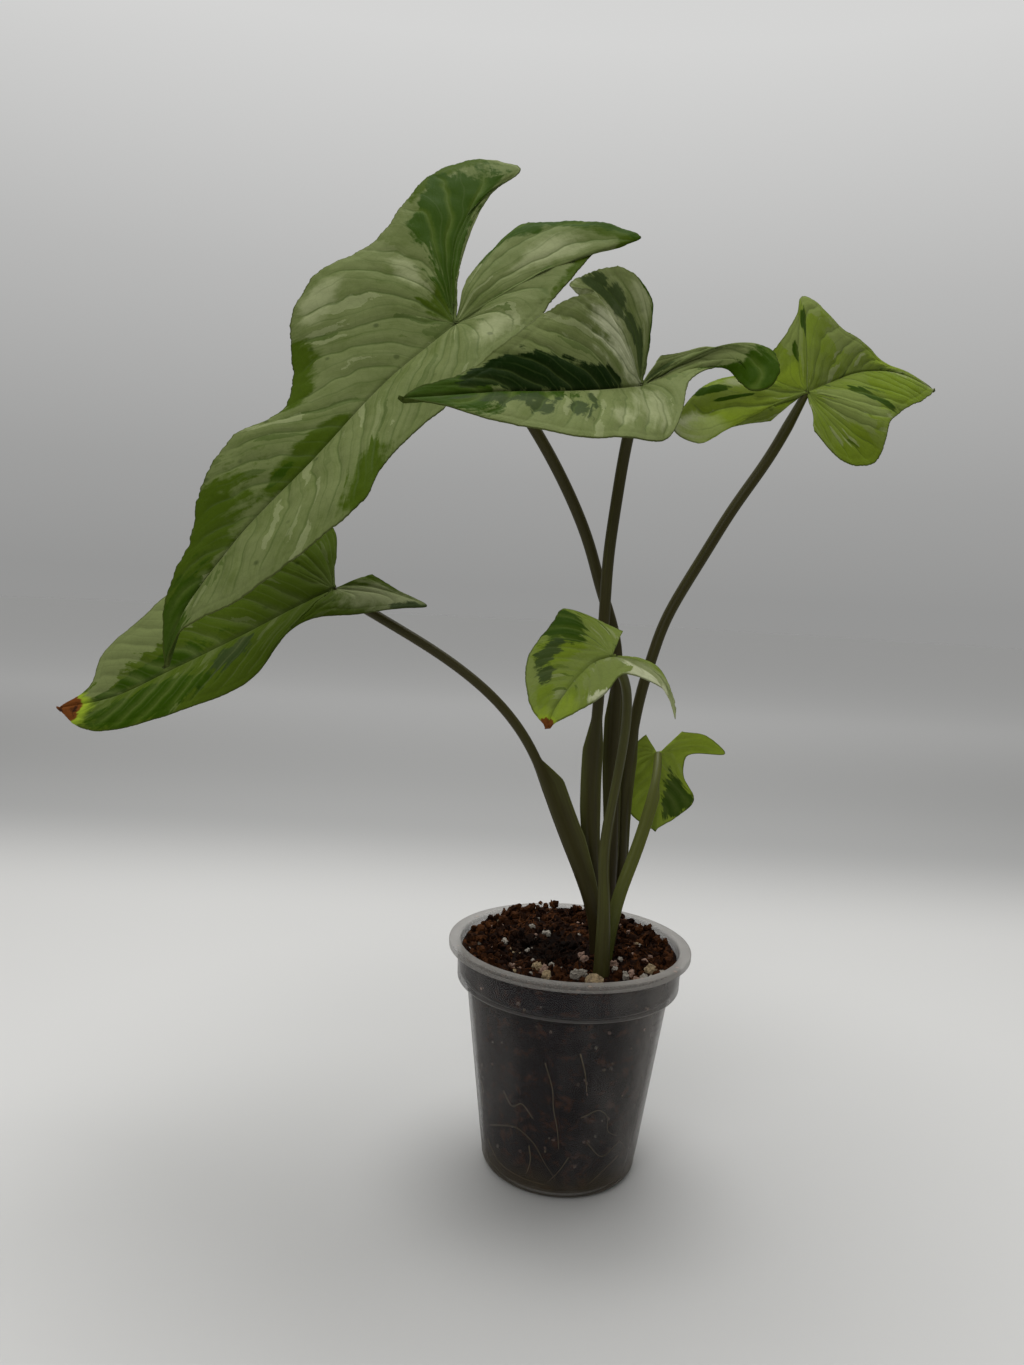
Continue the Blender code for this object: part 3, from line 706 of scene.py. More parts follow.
# How soft the edge of a patch of each tone is, how jagged and how strong, from the first laid on.
TONES = {
    "cream": (0.7, 0.9, 0.8), "white": (0.5, 0.9, 0.9), "pale": (0.12, 1.0, 1.0),
    "green": (0.30, 1.0, 1.0), "yellow": (0.6, 1.0, 0.7), "deep": (0.25, 1.1, 1.0),
    "blue": (0.35, 1.8, 0.9), "dark": (0.22, 1.0, 1.0),
}
BETWEEN_VEINS = (0.062, 0.092, 0.022)
VEIN_STREAK = (0.085, 0.125, 0.018)
MARGIN = (0.045, 0.055, 0.012)
BURNT = (0.030, 0.012, 0.006)


def step_at(value, count):
    """Which of so many steps a coordinate of a grid is at, from 0 at -1 to the last at 1."""
    return round((value + 1) / 2 * count)


def turned_by(turn):
    """The matrix of a turn in degrees about each axis."""
    return Euler([math.radians(angle) for angle in turn]).to_matrix()


def noise_at(points, size, seed):
    """Smooth noise at each point of an array, with bumps of about a size in millimetres."""
    flat = points.reshape(-1, 3) / size + seed
    return np.array([noise.noise(Vector(point)) for point in flat]).reshape(points.shape[:-1])


def margin_curve(leaf, half):
    """The margin of half a blade, from the tip of the leaf round to the sinus."""
    return Curve([point[:3] for point in (leaf.midrib[-1], *half.ahead, *half.lobe)])


def half_blade(leaf, half, side, columns, rows):
    """Points of half a blade by column and row, and how far along the margin each column is."""
    margin = margin_curve(leaf, half)
    moved = [point[3:] or (0, 0, 0) for point in (leaf.midrib[-1], *half.ahead, *half.lobe)]
    moves = Curve(moved, margin.marks)
    junction = margin.marks[len(half.ahead)]
    ahead, lobe = columns
    at = np.concatenate([
        np.linspace(0.0, junction, ahead + 1)[:-1], np.linspace(junction, margin.marks[-1], lobe + 1),
    ])
    along = at / margin.marks[-1]
    midrib = Curve([(0, 0, 0), *leaf.midrib])
    roots = np.concatenate([
        midrib(np.linspace(midrib.marks[-1], 0.0, ahead + 1)), np.zeros((lobe, 3)),
    ])
    ends = margin(at)
    outward = ends - roots
    lengths = np.linalg.norm(outward, axis=1, keepdims=True)
    fine = noise_at(ends, 1.3, side) + 0.6 * noise_at(ends, 0.5, side + 4)
    nicks = leaf.ragged * fine + leaf.scallops * noise_at(ends, 6.0, side + 9)
    ends = ends + outward / np.maximum(lengths, 1.0) * nicks[:, None] * np.minimum(lengths / 6.0, 1.0)
    middles = (roots + ends) / 2 + moves(at) + lengths * np.array([0, 0, leaf.swell])
    share = np.linspace(0.0, 1.0, rows + 1)[None, :, None]
    grid = (
        roots[:, None] * (1 - share) * (1 - 2 * share)
        + middles[:, None] * 4 * share * (1 - share)
        + ends[:, None] * share * (2 * share - 1)
    )
    taper = np.sqrt(np.clip(np.sin(math.pi * along), 0.0, 1.0))[:, None]
    ripple = np.sin(FULL_TURN * leaf.ripples * along + side)[:, None]
    grid[:, :, 2] += leaf.wave * taper * share[:, :, 0]**2 * ripple
    return grid, along


def vein_index(leaf, grid, columns, share, side):
    """Counts the side veins, whole on a vein. They curve towards the tip and wander a little."""
    ahead, lobe = columns
    count = np.concatenate([
        np.linspace(0.0, leaf.veins[0], ahead + 1)[:-1],
        np.linspace(leaf.veins[0], sum(leaf.veins), lobe + 1),
    ])
    index = count[:, None] + VEIN_BEND * share[None, :] ** 1.5
    return index + 0.32 * noise_at(grid, 17.0, side) + 0.10 * noise_at(grid, 5.0, side + 7)


def vein_spacing(grid, index):
    """Millimetres from one side vein to the next at each point, from how fast the count changes."""
    along, out = np.gradient(grid, axis=0), np.gradient(grid, axis=1)
    by_column, by_row = np.gradient(index, axis=0), np.gradient(index, axis=1)
    aa, ab, bb = (along * along).sum(2), (along * out).sum(2), (out * out).sum(2)
    area = np.maximum(aa * bb - ab**2, 1e-9)
    steep = (bb * by_column**2 - 2 * ab * by_column * by_row + aa * by_row**2) / area
    return np.clip(1 / np.sqrt(np.maximum(steep, 1e-6)), 0.0, MOST_SPACING)


def distance_out(grid):
    """Millimetres from the midrib, or from the junction, out along each column."""
    steps = np.linalg.norm(np.diff(grid, axis=1), axis=2)
    return np.concatenate([np.zeros((len(grid), 1)), np.cumsum(steps, axis=1)], axis=1)


def patch_field(patches, along, share):
    """How far inside the patches of one tone each point is: 1 at a middle, 0 at an edge."""
    field = np.full((len(along), len(share)), -1.0)
    for mid_along, mid_share, reach_along, reach_share in patches:
        away = np.hypot(
            (along[:, None] - mid_along) / reach_along, (share[None, :] - mid_share) / reach_share,
        )
        field = np.maximum(field, 1.0 - away)
    return field


def surface_normals(grid):
    across = np.gradient(grid, axis=1)
    ahead = np.gradient(grid, axis=0)
    normals = np.cross(across, ahead)
    lengths = np.linalg.norm(normals, axis=2, keepdims=True)
    return np.where(lengths > 1e-9, normals / np.maximum(lengths, 1e-9), np.array([0.0, 0.0, 1.0]))


def blade_size(leaf):
    """Columns ahead of the junction and in a lobe, and rows, for cells of about a set length."""
    ahead, lobe, width = 0.0, 0.0, 0.0
    for half in (getattr(leaf, name) for name in HALVES):
        margin = margin_curve(leaf, half)
        junction = margin.marks[len(half.ahead)]
        ahead = max(ahead, junction)
        lobe = max(lobe, margin.marks[-1] - junction)
        width = max(width, np.linalg.norm(margin.points, axis=1)[len(half.ahead):].max())
    columns = round(ahead / COLUMN_LENGTH), round(lobe / COLUMN_LENGTH)
    return columns, round(min(width, MOST_WIDTH) / ROW_LENGTH)


def shaped_half(leaf, side, columns, rows):
    """Points of half a blade with its relief, and what its material and its thickness read."""
    chosen = settings()
    half, patches = getattr(leaf, HALVES[side]), leaf.patches[HALVES[side]]
    share = np.linspace(0.0, 1.0, rows + 1)
    grid, along = half_blade(leaf, half, side, columns, rows)
    rib = distance_out(grid)
    edge = rib[:, -1:] - rib
    index = vein_index(leaf, grid, columns, share, side)
    spacing = vein_spacing(grid, index)
    phase = np.abs(index - np.round(index)) * 2
    inner = np.clip(edge / CALM_BORDER, 0.0, 1.0) * np.clip(rib / CALM_BORDER, 0.0, 1.0)
    quilt = np.sin(math.pi / 2 * phase) * inner * np.clip(spacing / WIDE_SPACING, 0.0, 1.0)
    sunk = np.exp(-(phase * spacing / 2 / VEIN_WIDTH) ** 2) * inner
    bound = np.exp(-((edge - BOUND_INSET) / BOUND_WIDTH) ** 2) * np.clip(rib / 6.0, 0.0, 1.0)
    groove = np.exp(-(rib / GROOVE_WIDTH) ** 2)
    pucker = 0.45 * noise_at(grid, 12.0, side + 20) + 0.22 * noise_at(grid, 5.0, side + 30)
    relief = (chosen.quilting * quilt - chosen.vein_depth * (sunk + 0.5 * bound)) / MM
    lift = relief - GROOVE_DEPTH * groove + pucker * inner
    normals = surface_normals(grid)
    upward = np.sign(normals[:, :, 2].mean())
    near_rib = np.exp(-(rib / MIDRIB_WIDTH) ** 2)
    near_edge = np.exp(-(edge / THIN_EDGE) ** 2)
    return grid + normals * upward * lift[:, :, None], {
        **{tone: patch_field(patches.get(tone, ()), along, share) for tone in (*TONES, "dry")},
        "index": index, "spacing": spacing, "rib": rib, "edge": edge,
        "heavy": np.clip(PLAIN_SHARE + 0.9 * near_rib - 0.2 * near_edge, 0.0, 1.0),
    }


def make_blade(name, leaf, materials):
    """A finely shaped blade: sunk veins, quilting between them, a thick midrib and a thin edge."""
    columns, rows = blade_size(leaf)
    points, values = zip(*(shaped_half(leaf, side, columns, rows) for side in (0, 1)))
    count = sum(columns)
    bm = bmesh.new()
    bmesh.ops.create_grid(bm, x_segments=2 * rows, y_segments=count, size=1.0)
    flat = bm.loops.layers.uv.new("UVMap")

    def cell(vert):
        return step_at(vert.co.y, count), round(abs(vert.co.x) * rows)

    for face in bm.faces:
        side = int(face.calc_center_median().x > 0)
        for loop in face.loops:
            column, row = cell(loop.vert)
            loop[flat].uv = (values[side]["index"][column, row] + HALF_STEP * side, row / rows)
    layers = {key: bm.verts.layers.float.new(key) for key in values[0] if key != "heavy"}
    weights = bm.verts.layers.deform.verify()
    turn, place = turned_by(leaf.turn), Vector(leaf.place)
    for vert in bm.verts:
        at, side = cell(vert), int(vert.co.x > 0)
        for key, layer in layers.items():
            vert[layer] = values[side][key][at]
        vert[weights][0] = values[side]["heavy"][at]
        vert.co = (turn @ Vector(points[side][at]) + place) * MM
    bmesh.ops.remove_doubles(bm, verts=bm.verts, dist=1e-6)
    bmesh.ops.recalc_face_normals(bm, faces=bm.faces)
    up = turn @ Vector((0, 0, 1))
    if sum(face.normal.dot(up) for face in bm.faces) < 0:
        bmesh.ops.reverse_faces(bm, faces=bm.faces)
    blade = finished(bm, f"leaf_blade_{name}", materials, [f"blade_{name}"])
    blade.vertex_groups.new(name="thickness")
    solid = blade.modifiers.new("Thickness", "SOLIDIFY")
    solid.thickness = settings().blade_thickness / PLAIN_SHARE
    solid.offset = -0.4
    solid.vertex_group = "thickness"
    solid.material_offset = 1
    solid.material_offset_rim = 0
    solid.use_even_offset = False
    return blade


def blade_material(name, leaf, under=False):
    """The variegated upper side of a blade, or its duller and paler underside."""
    chosen = settings()
    shader = Shader(f"{name}_{'under' if under else 'upper'}", Specular_IOR_Level=0.008)
    where = shader.place()
    rib, edge, index, spacing = (shader.attribute(key) for key in ("rib", "edge", "index", "spacing"))
    streaks = shader.noise(shader.on_map((2.6, 2.2)), 1.0, 4.0, 0.6)
    sectors = shader.cells(shader.on_map((3.2, 2.4)), 1.0, "F1", 1)
    wobble = shader.noise(where, 330.0, 3.0, 0.6, output=1)
    flecks = shader.cells(shader.on_map((4.5, 3.4)) + wobble * 0.9, 1.0, "F1", 1)
    fine_streaks = shader.noise(shader.on_map((14.0, 3.0)), 1.0, 3.0, 0.6)
    blots = shader.noise(where, 210.0, 4.0, 0.62)
    clouds = shader.noise(where, 62.0, 3.0, 0.55)
    stipple = shader.noise(where, 900.0, 3.0, 0.6)
    used = {tone for patches in leaf.patches.values() for tone in patches}
    green = shader.mix(leaf.fresh * 0.8, chosen.leaf_green, chosen.leaf_yellow)
    pale = shader.mix(leaf.fresh * 0.45, chosen.leaf_pale, chosen.leaf_yellow)
    mottling = clouds + streaks + blots * 0.7 + fine_streaks * 0.5 - 1.6
    paleness = leaf.ground + mottling * 2.2 * leaf.mottle
    colour = shader.layers(
        green,
        (shader.ease(paleness, 0.0, 1.0), pale),
        (shader.ease(flecks, 0.80, 0.86) * leaf.mottle * 1.4, chosen.leaf_cream),
        (shader.ease(flecks, 0.16, 0.10) * leaf.mottle * 1.6, chosen.leaf_deep),
    )
    jags = (streaks - 0.5) * 1.1 + (blots - 0.5) * 0.9 + (sectors - 0.5) * 0.35
    for tone, (softness, jagged, strength) in TONES.items():
        if tone in used:
            field = shader.attribute(tone) + jags * jagged
            tint = {"green": green, "pale": pale}.get(tone, getattr(chosen, f"leaf_{tone}"))
            colour = shader.mix(shader.ease(field, 0.0, softness) * strength, colour, tint)
    lighter = shader.mix(0.5, colour, chosen.leaf_pale)
    darker = shader.mix(0.5, colour, chosen.leaf_dark)
    main = shader.vein(index, spacing, 1.0)
    minor = shader.vein(index, spacing, 2.0)
    lines = shader.ease(main, 0.55, 0.05) * shader.ease(edge, 1.5, 6.0)
    fine_lines = (
        shader.ease(minor, 0.4, 0.05) * shader.ease(edge, 3.0, 8.0) * shader.ease(spacing, 1.5, 4.0)
    )
    marks, tone = lighter, leaf.vein_tone
    if tone <= 0:
        marks, tone = shader.mix(0.65, colour, BETWEEN_VEINS), -2 * tone
    colour = shader.layers(colour, (lines * tone, marks), (fine_lines * tone * 0.6, marks))
    if "deep" in used:
        deep = shader.ease(shader.attribute("deep"), 0.05, 0.4)
        streak = shader.ease(main, 1.8, 0.2) * shader.ease(spacing, 2.0, 5.0) * deep
        colour = shader.mix(streak * 0.45, colour, VEIN_STREAK)
    glow = shader.ease(main, 2.4, 0.4) * shader.ease(rib, 14.0, 2.0)
    net, specks = shader.cells(where, 420.0), shader.cells(where, 95.0, "F1")
    speckled = shader.ease(specks, 0.12, 0.05) * shader.ease(clouds, 0.45, 0.6)
    colour = shader.layers(
        colour,
        (glow * max(leaf.vein_tone, 0.12), lighter),
        (shader.ease(rib, 2.0, 0.4) * max(leaf.vein_tone, 0.1), lighter),
        (shader.ease(rib, 0.55, 0.12) * 0.55, darker),
        (shader.ease(net, 0.10, 0.0) * 0.14, darker),
        (shader.ease(stipple, 0.50, 0.75) * 0.10, lighter),
        (speckled * 0.5, chosen.leaf_dark),
        (shader.ease(edge + (blots - 0.5) * 0.8, 0.6, 0.15) * 0.6, MARGIN),
    )
    if "dry" in used:
        dry = shader.attribute("dry") + jags * 0.4
        colour = shader.layers(
            colour,
            (shader.ease(dry, -0.40, 0.0), chosen.leaf_yellow),
            (shader.ease(dry, 0.02, 0.12), chosen.leaf_dry),
            (shader.ease(blots, 0.50, 0.62) * shader.ease(dry, 0.1, 0.3), BURNT),
        )
    if under:
        colour = shader.mix(0.08, colour, chosen.leaf_pale)
    relief = stipple * 0.35 + net * 0.5 + shader.ease(minor, 0.0, 0.5) * 0.5 + fine_streaks * 0.8
    normal = shader.bump(relief, 0.00012, 0.45)
    rough = 0.50 + (blots - 0.5) * 0.14 + (0.12 if under else 0.0)
    return shader.end(Base_Color=colour, Roughness=rough, Normal=normal)


class PLANT_OT_leaf_blades(bpy.types.Operator):
    """Make the six variegated leaf blades with their veins"""

    bl_idname = "plant.leaf_blades"
    bl_label = "Leaf blades"

    def execute(self, context):
        for name, leaf in LEAVES.items():
            sides = [blade_material(f"leaf_{name}", leaf, under) for under in (False, True)]
            make_blade(name, leaf, sides)
        return {"FINISHED"}


# Leaf stalks

STALK_SIDES = 32
STALK_STEP = 1.3
SMOOTHING_PASSES = 50
# Shares of a stalk's length: where it has narrowed from its base, where its sheath starts and how
# soon the sheath is grown and ended, and from where the stalk narrows to its tip
NARROWED = 0.35
SHEATH_START = 0.12
SHEATH_GROWTH = 0.2
SHEATH_CLOSING = 0.05
TIP_SHARE = 0.94
TIP_RADIUS = 1.25
JUNCTION_GAP = 0.3
WING_THICKNESS = 0.55
STALK_FOOT = (0.024, 0.0155, 0.007)
WING_EDGE = (0.16, 0.17, 0.07)


def stalk_end(leaf):
    """Where a stalk ends, just below the underside of its blade at the junction."""
    return Vector(leaf.place) - turned_by(leaf.turn) @ Vector((0, 0, 1)) * JUNCTION_GAP


def stalk_section(stalk, share, angle):
    """How far right and forward the skin is from the stalk's middle, and how much of it is wing."""
    core = stalk.base_radius + (stalk.radius - stalk.base_radius) * min(1.0, share / NARROWED)
    if share > TIP_SHARE:
        core += (TIP_RADIUS - core) * (share - TIP_SHARE) / (1 - TIP_SHARE)
    grown = min(1.0, max(0.0, (share - SHEATH_START) / SHEATH_GROWTH))
    ended = min(1.0, max(0.0, (share - stalk.sheath_end) / SHEATH_CLOSING))
    opened = grown * (1 - ended)
    side, lift = math.cos(angle), math.sin(angle)
    wing = stalk.wings[int(side > 0)] * opened
    reach = core + wing
    across = side * reach
    round_part = math.sqrt(max(0.0, core**2 - min(abs(across), core)**2))
    wing_part = WING_THICKNESS * min(1.0, wing) * math.sqrt(max(0.0, 1 - (abs(across) / reach) ** 4))
    thick = max(round_part, wing_part) * (1 - 0.15 * opened)
    out = max(0.0, abs(across) - core * 0.7) / max(reach - core * 0.7, 1e-6) if wing > 0.3 else 0.0
    curl = 0.10 * wing * out**2
    return across, math.copysign(thick, lift) + curl if abs(lift) > 1e-6 else curl, out


def make_stalk(name, stalk, leaf, material):
    foot = (*stalk.base, SOIL_FOOT)
    above_soil = (*stalk.base, SOIL_LEVEL + UPRIGHT_ABOVE_SOIL)
    course = Curve([foot, above_soil, *stalk.path, stalk_end(leaf)])
    stations = round(course.marks[-1] / STALK_STEP)
    at = np.linspace(0.0, course.marks[-1], stations + 1)
    middles = course(at)
    for _ in range(SMOOTHING_PASSES):
        middles[1:-1] = (middles[:-2] + 2 * middles[1:-1] + middles[2:]) / 4
    headings = np.gradient(middles, axis=0)
    bm = bmesh.new()
    bmesh.ops.create_grid(bm, x_segments=STALK_SIDES, y_segments=stations, size=1.0)
    flat = bm.loops.layers.uv.new("UVMap")
    for face in bm.faces:
        for loop in face.loops:
            length = (loop.vert.co.y + 1) / 2 * course.marks[-1]
            loop[flat].uv = ((loop.vert.co.x + 1) / 2, length / 100)
    wing_layer = bm.verts.layers.float.new("wing")
    height_layer = bm.verts.layers.float.new("height")
    for vert in bm.verts:
        angle = math.pi * (vert.co.x + 1)
        station = step_at(vert.co.y, stations)
        heading = Vector(headings[station]).normalized()
        across = Vector((0, 1, 0)).cross(heading).normalized()
        front = across.cross(heading)
        right, forward, out = stalk_section(stalk, station / stations, angle)
        vert.co = (Vector(middles[station]) + across * right + front * forward) * MM
        vert[wing_layer] = out
        vert[height_layer] = station / stations
    bmesh.ops.remove_doubles(bm, verts=bm.verts, dist=1e-6)
    ends = [edge for edge in bm.edges if edge.is_boundary]
    bmesh.ops.holes_fill(bm, edges=ends, sides=0)
    bmesh.ops.recalc_face_normals(bm, faces=bm.faces)
    return finished(bm, f"leaf_stalk_{name}", [material], [f"stalk_{name}"], sharp=60)


def stalk_material(name, stalk):
    chosen = settings()
    shader = Shader(f"stalk_{name}", Specular_IOR_Level=0.14)
    fine = shader.noise(shader.on_map((26.0, 2.2)), 1.0, 3.0, 0.55)
    broad = shader.noise(shader.on_map((5.0, 6.0)), 1.0, 2.0, 0.5)
    wing, height = shader.attribute("wing"), shader.attribute("height")
    streaked = (fine - 0.5) * 0.7 + (broad - 0.5) * 0.5
    green = stalk.tint + streaked + wing * 0.45 + shader.ease(height, 0.85, 1.0) * 0.2
    reddish = shader.ease(height, 0.34, 0.04) * max(0.0, 1.0 - stalk.tint)
    colour = shader.layers(
        chosen.stalk_brown,
        (shader.ease(green, -0.1, 1.1), chosen.stalk_green),
        (reddish * 0.8, STALK_FOOT),
        (shader.ease(wing, 0.9, 1.0) * 0.5, WING_EDGE),
    )
    normal = shader.bump(fine, 0.00008, 0.25)
    return shader.end(Base_Color=colour, Roughness=0.42 + (broad - 0.5) * 0.2, Normal=normal)


class PLANT_OT_leaf_stalks(bpy.types.Operator):
    """Make the six leaf stalks with their sheaths"""

    bl_idname = "plant.leaf_stalks"
    bl_label = "Leaf stalks"

    def execute(self, context):
        for name, stalk in STALKS.items():
            make_stalk(name, stalk, LEAVES[name], stalk_material(name, stalk))
        return {"FINISHED"}


# Pot

POT_SIDES = 144
# Cloudy haze of the plastic, also used to paint a sheen where the wall is seen at a slant
HAZE_AND_EDGE_SHEEN = (0.20, 0.185, 0.17)
MUD = (0.085, 0.066, 0.040)
BARE_EDGE = (0.30, 0.285, 0.26)
DRY_SPOT = (0.30, 0.22, 0.18)


def arc(centre, radius, start, end, count):
    """Points of an arc, with angles in degrees from +X towards +Z."""
    angles = np.radians(np.linspace(start, end, count))
    return [(centre[0] + radius * math.cos(a), centre[1] + radius * math.sin(a)) for a in angles]


def pot_outside():
    """The pot's outer side, from the top of the rim down to the middle of the base."""
    rim_bottom = POT_HEIGHT - RIM_HEIGHT
    lip = 0.5
    return [
        *arc((RIM_RADIUS - lip, POT_HEIGHT - lip), lip, 90, 0, 5),
        *arc((RIM_RADIUS - lip, rim_bottom + lip), lip, 0, -90, 5),
        *arc((SKIRT_RADIUS + 0.6, rim_bottom - 0.5), 0.5, 90, 180, 4),
        (SKIRT_RADIUS - 0.2, LEDGE_HEIGHT + 1.4),
        *arc((SKIRT_RADIUS - 1.0, LEDGE_HEIGHT + 0.9), 0.8, 0, -90, 5),
        *arc((BODY_TOP_RADIUS + 0.5, LEDGE_HEIGHT - 0.5), 0.5, 90, 175, 4),
        (FOOT_RADIUS + 0.9, 10.0),
        *arc((FOOT_RADIUS - FOOT_ROUND, FOOT_ROUND), FOOT_ROUND, 5, -90, 9),
        (0.0, 0.0),
    ]


def pot_inside():
    """The pot's inner side, from the middle of its floor up to the rim."""
    inner_round = FOOT_ROUND - POT_WALL
    return [
        (0.0, POT_FLOOR),
        *arc((FOOT_RADIUS - FOOT_ROUND, POT_FLOOR + inner_round), inner_round, -90, 5, 8),
        (BODY_TOP_RADIUS - POT_WALL, LEDGE_HEIGHT),
        (SKIRT_RADIUS - 1.0 - POT_WALL, LEDGE_HEIGHT + 0.1 + POT_WALL),
        (SKIRT_RADIUS - POT_WALL - 0.1, LEDGE_HEIGHT + 2.4),
        (SKIRT_RADIUS - POT_WALL, POT_HEIGHT - 1.6),
        *arc((SKIRT_RADIUS - POT_WALL + 0.9, POT_HEIGHT - 0.9), 0.9, 180, 90, 5),
    ]


def around(away, bearing):
    """The x and y of a point that is so far from the middle, on a bearing from +X."""
    return away * math.cos(bearing), away * math.sin(bearing)


def turned(profile, sides):
    """A bmesh in metres, turned round Z from a profile in millimetres."""
    bm = bmesh.new()
    verts = [bm.verts.new((radius * MM, 0.0, height * MM)) for radius, height in profile]
    edges = [bm.edges.new(pair) for pair in zip(verts, verts[1:])]
    bmesh.ops.spin(
        bm, geom=[*verts, *edges], cent=(0, 0, 0), axis=(0, 0, 1), dvec=(0, 0, 0),
        angle=FULL_TURN, steps=sides, use_merge=True, use_duplicate=False,
    )
    bmesh.ops.remove_doubles(bm, verts=bm.verts, dist=1e-6)
    bmesh.ops.recalc_face_normals(bm, faces=bm.faces)
    return bm


def plastic_material():
    """Thin clear plastic with a little haze, scuffs, a sheen painted where the wall is seen at a
    slant, and dried mud and algae near its foot.
    """
    chosen = settings()
    shader = Shader("clear_plastic", IOR=1.46, Specular_IOR_Level=0.15)
    where = shader.place()
    across, height = (shader.axis(where, index) / MM for index in (0, 2))
    smears = shader.noise(shader.place((1.0, 1.0, 0.35)), 70.0, 4.0, 0.6)
    scuffs = shader.noise(shader.place((1.0, 1.0, 5.0)), 160.0, 4.0, 0.7)
    spots = shader.cells(where, 130.0, "F1")
    over_ledge = height - LEDGE_HEIGHT
    rim = shader.ease(height - (POT_HEIGHT - RIM_HEIGHT), -0.3, 0.5)
    ledge = shader.ease(over_ledge, -1.0, -0.4) * shader.ease(over_ledge, 1.1, 0.3)
    skirt = shader.ease(over_ledge, -0.3, 0.7)
    foot = shader.ease(height + (smears - 0.5) * 16.0, 13.0, 2.0)
    facing = shader.node("ShaderNodeLayerWeight", sockets={"Blend": 0.35}, output=1)
    cloud = shader.ease(smears, 0.42, 0.75)
    damp = shader.ease(across + (smears - 0.5) * 24.0, 4.0, 30.0)
    colour = shader.layers(
        chosen.plastic,
        # painted sheen: the wall turns lighter where it is seen at a slant, over the cloudy and damp
        # patches
        (facing ** 1.4 * 0.9 + cloud * 0.2 + damp * 0.4, HAZE_AND_EDGE_SHEEN),
        (foot * 0.8, MUD),
        (rim * 0.85 + ledge * 0.45, BARE_EDGE),
        (shader.ease(spots, 0.13, 0.05) * 0.7, DRY_SPOT),
    )
    alpha = chosen.haze + cloud * 0.08 + damp * 0.10 + shader.ease(scuffs, 0.62, 0.8) * 0.04
    alpha = alpha + rim * 0.05 + ledge * 0.12 + skirt * 0.10 + foot * 0.22 + facing ** 1.6 * 0.45
    alpha = alpha + shader.ease(spots, 0.10, 0.04) * 0.25
    rough = 0.30 + shader.ease(scuffs, 0.4, 0.8) * 0.2
    normal = shader.bump(smears, 0.0002, 0.12)
    return shader.end(Base_Color=colour, Alpha=alpha, Roughness=rough, Normal=normal)


class PLANT_OT_pot(bpy.types.Operator):
    """Make the clear nursery pot with its drain holes"""

    bl_idname = "plant.pot"
    bl_label = "Pot"

    def execute(self, context):
        bm = turned([*pot_inside(), *pot_outside()], POT_SIDES)
        pot = finished(bm, "clear_pot", [plastic_material()], ["pot"], sharp=50)
        drills = bmesh.new()
        radius = DRAIN_RADIUS * MM
        for index in range(DRAIN_COUNT):
            centre = Vector((*around(1.0, FULL_TURN * (index + 0.5) / DRAIN_COUNT), 0.0))
            bmesh.ops.create_cone(
                drills, cap_ends=True, segments=32, radius1=radius, radius2=radius,
                depth=8 * POT_FLOOR * MM, matrix=Matrix.Translation(centre * DRAIN_CIRCLE * MM),
            )
        cutter = meshed(drills, "drills")
        boolean = pot.modifiers.new("Drain", "BOOLEAN")
        boolean.operation = "DIFFERENCE"
        boolean.object = cutter
        fixed(pot)
        bpy.data.objects.remove(cutter)
        return {"FINISHED"}


# Potting mix

BED_SIDES = 150
BED_RINGS = 46
SEED = 11
HEAPED_CRUMBS = 170
LOOSE_GRAINS = 70
WALL_GRAINS = 110
HIDDEN_ROOTS = 22
ROOT_DEPTH = 0.12
HOLLOW = (-7.0, 3.0)
HOLLOW_REACH = 10.0
HOLLOW_DEPTH = 3.0
# The shade painted in the hollow: its middle, and the squares of how far it fades out and is full
HOLLOW_SHADE_MIDDLE = (-7.0, 1.5)
HOLLOW_SHADE_FADE = 300.0, 70.0
WALL_FOOT = POT_FLOOR + 1.2
WALL_RINGS = 60
FLOOR_GAP = 0.4
STRAW = (0.14, 0.065, 0.028)
# Painted shade in the crevices of the soil's grit
GRIT_CREVICE_SHADE = (0.004, 0.003, 0.002)
# Painted shade in the hollow beside the stalks
HOLLOW_SHADE = (0.0035, 0.0022, 0.0016)
PUMICE_WHITE = (0.27, 0.245, 0.205)
PUMICE_TAN = (0.27, 0.20, 0.11)
PUMICE_PINK = (0.24, 0.15, 0.11)
PUMICE_STAIN = (0.07, 0.040, 0.025)
PUMICE_PORE = (0.10, 0.085, 0.07)
ROOT_OLD = (0.12, 0.090, 0.038)
ROOT_YOUNG = (0.30, 0.23, 0.110)


def bumps(x, y, size, layer):
    """Smooth noise with bumps of about a size in millimetres, in one of its layers."""
    return noise.noise(Vector((x / size, y / size, layer)))


def any_turn(draw):
    return [draw.uniform(0, FULL_TURN) for _ in range(3)]


def soil_height(x, y):
    """The lumpy top of the soil, a little mounded towards the back."""
    lump = bumps(x, y, 7.0, 3.0) + 0.5 * bumps(x, y, 3.2, 8.0)
    hollow = math.exp(-math.hypot(x - HOLLOW[0], y - HOLLOW[1]) ** 2 / HOLLOW_REACH**2)
    return SOIL_LEVEL + SOIL_MOUND * (y / SKIRT_RADIUS) + SOIL_LUMP * lump - HOLLOW_DEPTH * hollow


def soil_crumble(x, y):
    return 0.9 * bumps(x, y, 1.6, 5.0) + 0.5 * bumps(x, y, 0.7, 2.0)


def bed_radius(height):
    """The soil's outer radius at a height, just inside the wall of the pot."""
    points = pot_inside()[1:]
    heights = [z for _, z in points]
    radii = [radius for radius, _ in points]
    return float(np.interp(height, heights, radii)) - SOIL_GAP


def hollow_shade_field(shader, where):
    """How deep in the hollow beside the stalks a point is, where the mix is painted dark as shade."""
    east, north = (shader.axis(where, index) / MM - HOLLOW_SHADE_MIDDLE[index] for index in (0, 1))
    return shader.ease(east * east + north * north, *HOLLOW_SHADE_FADE)


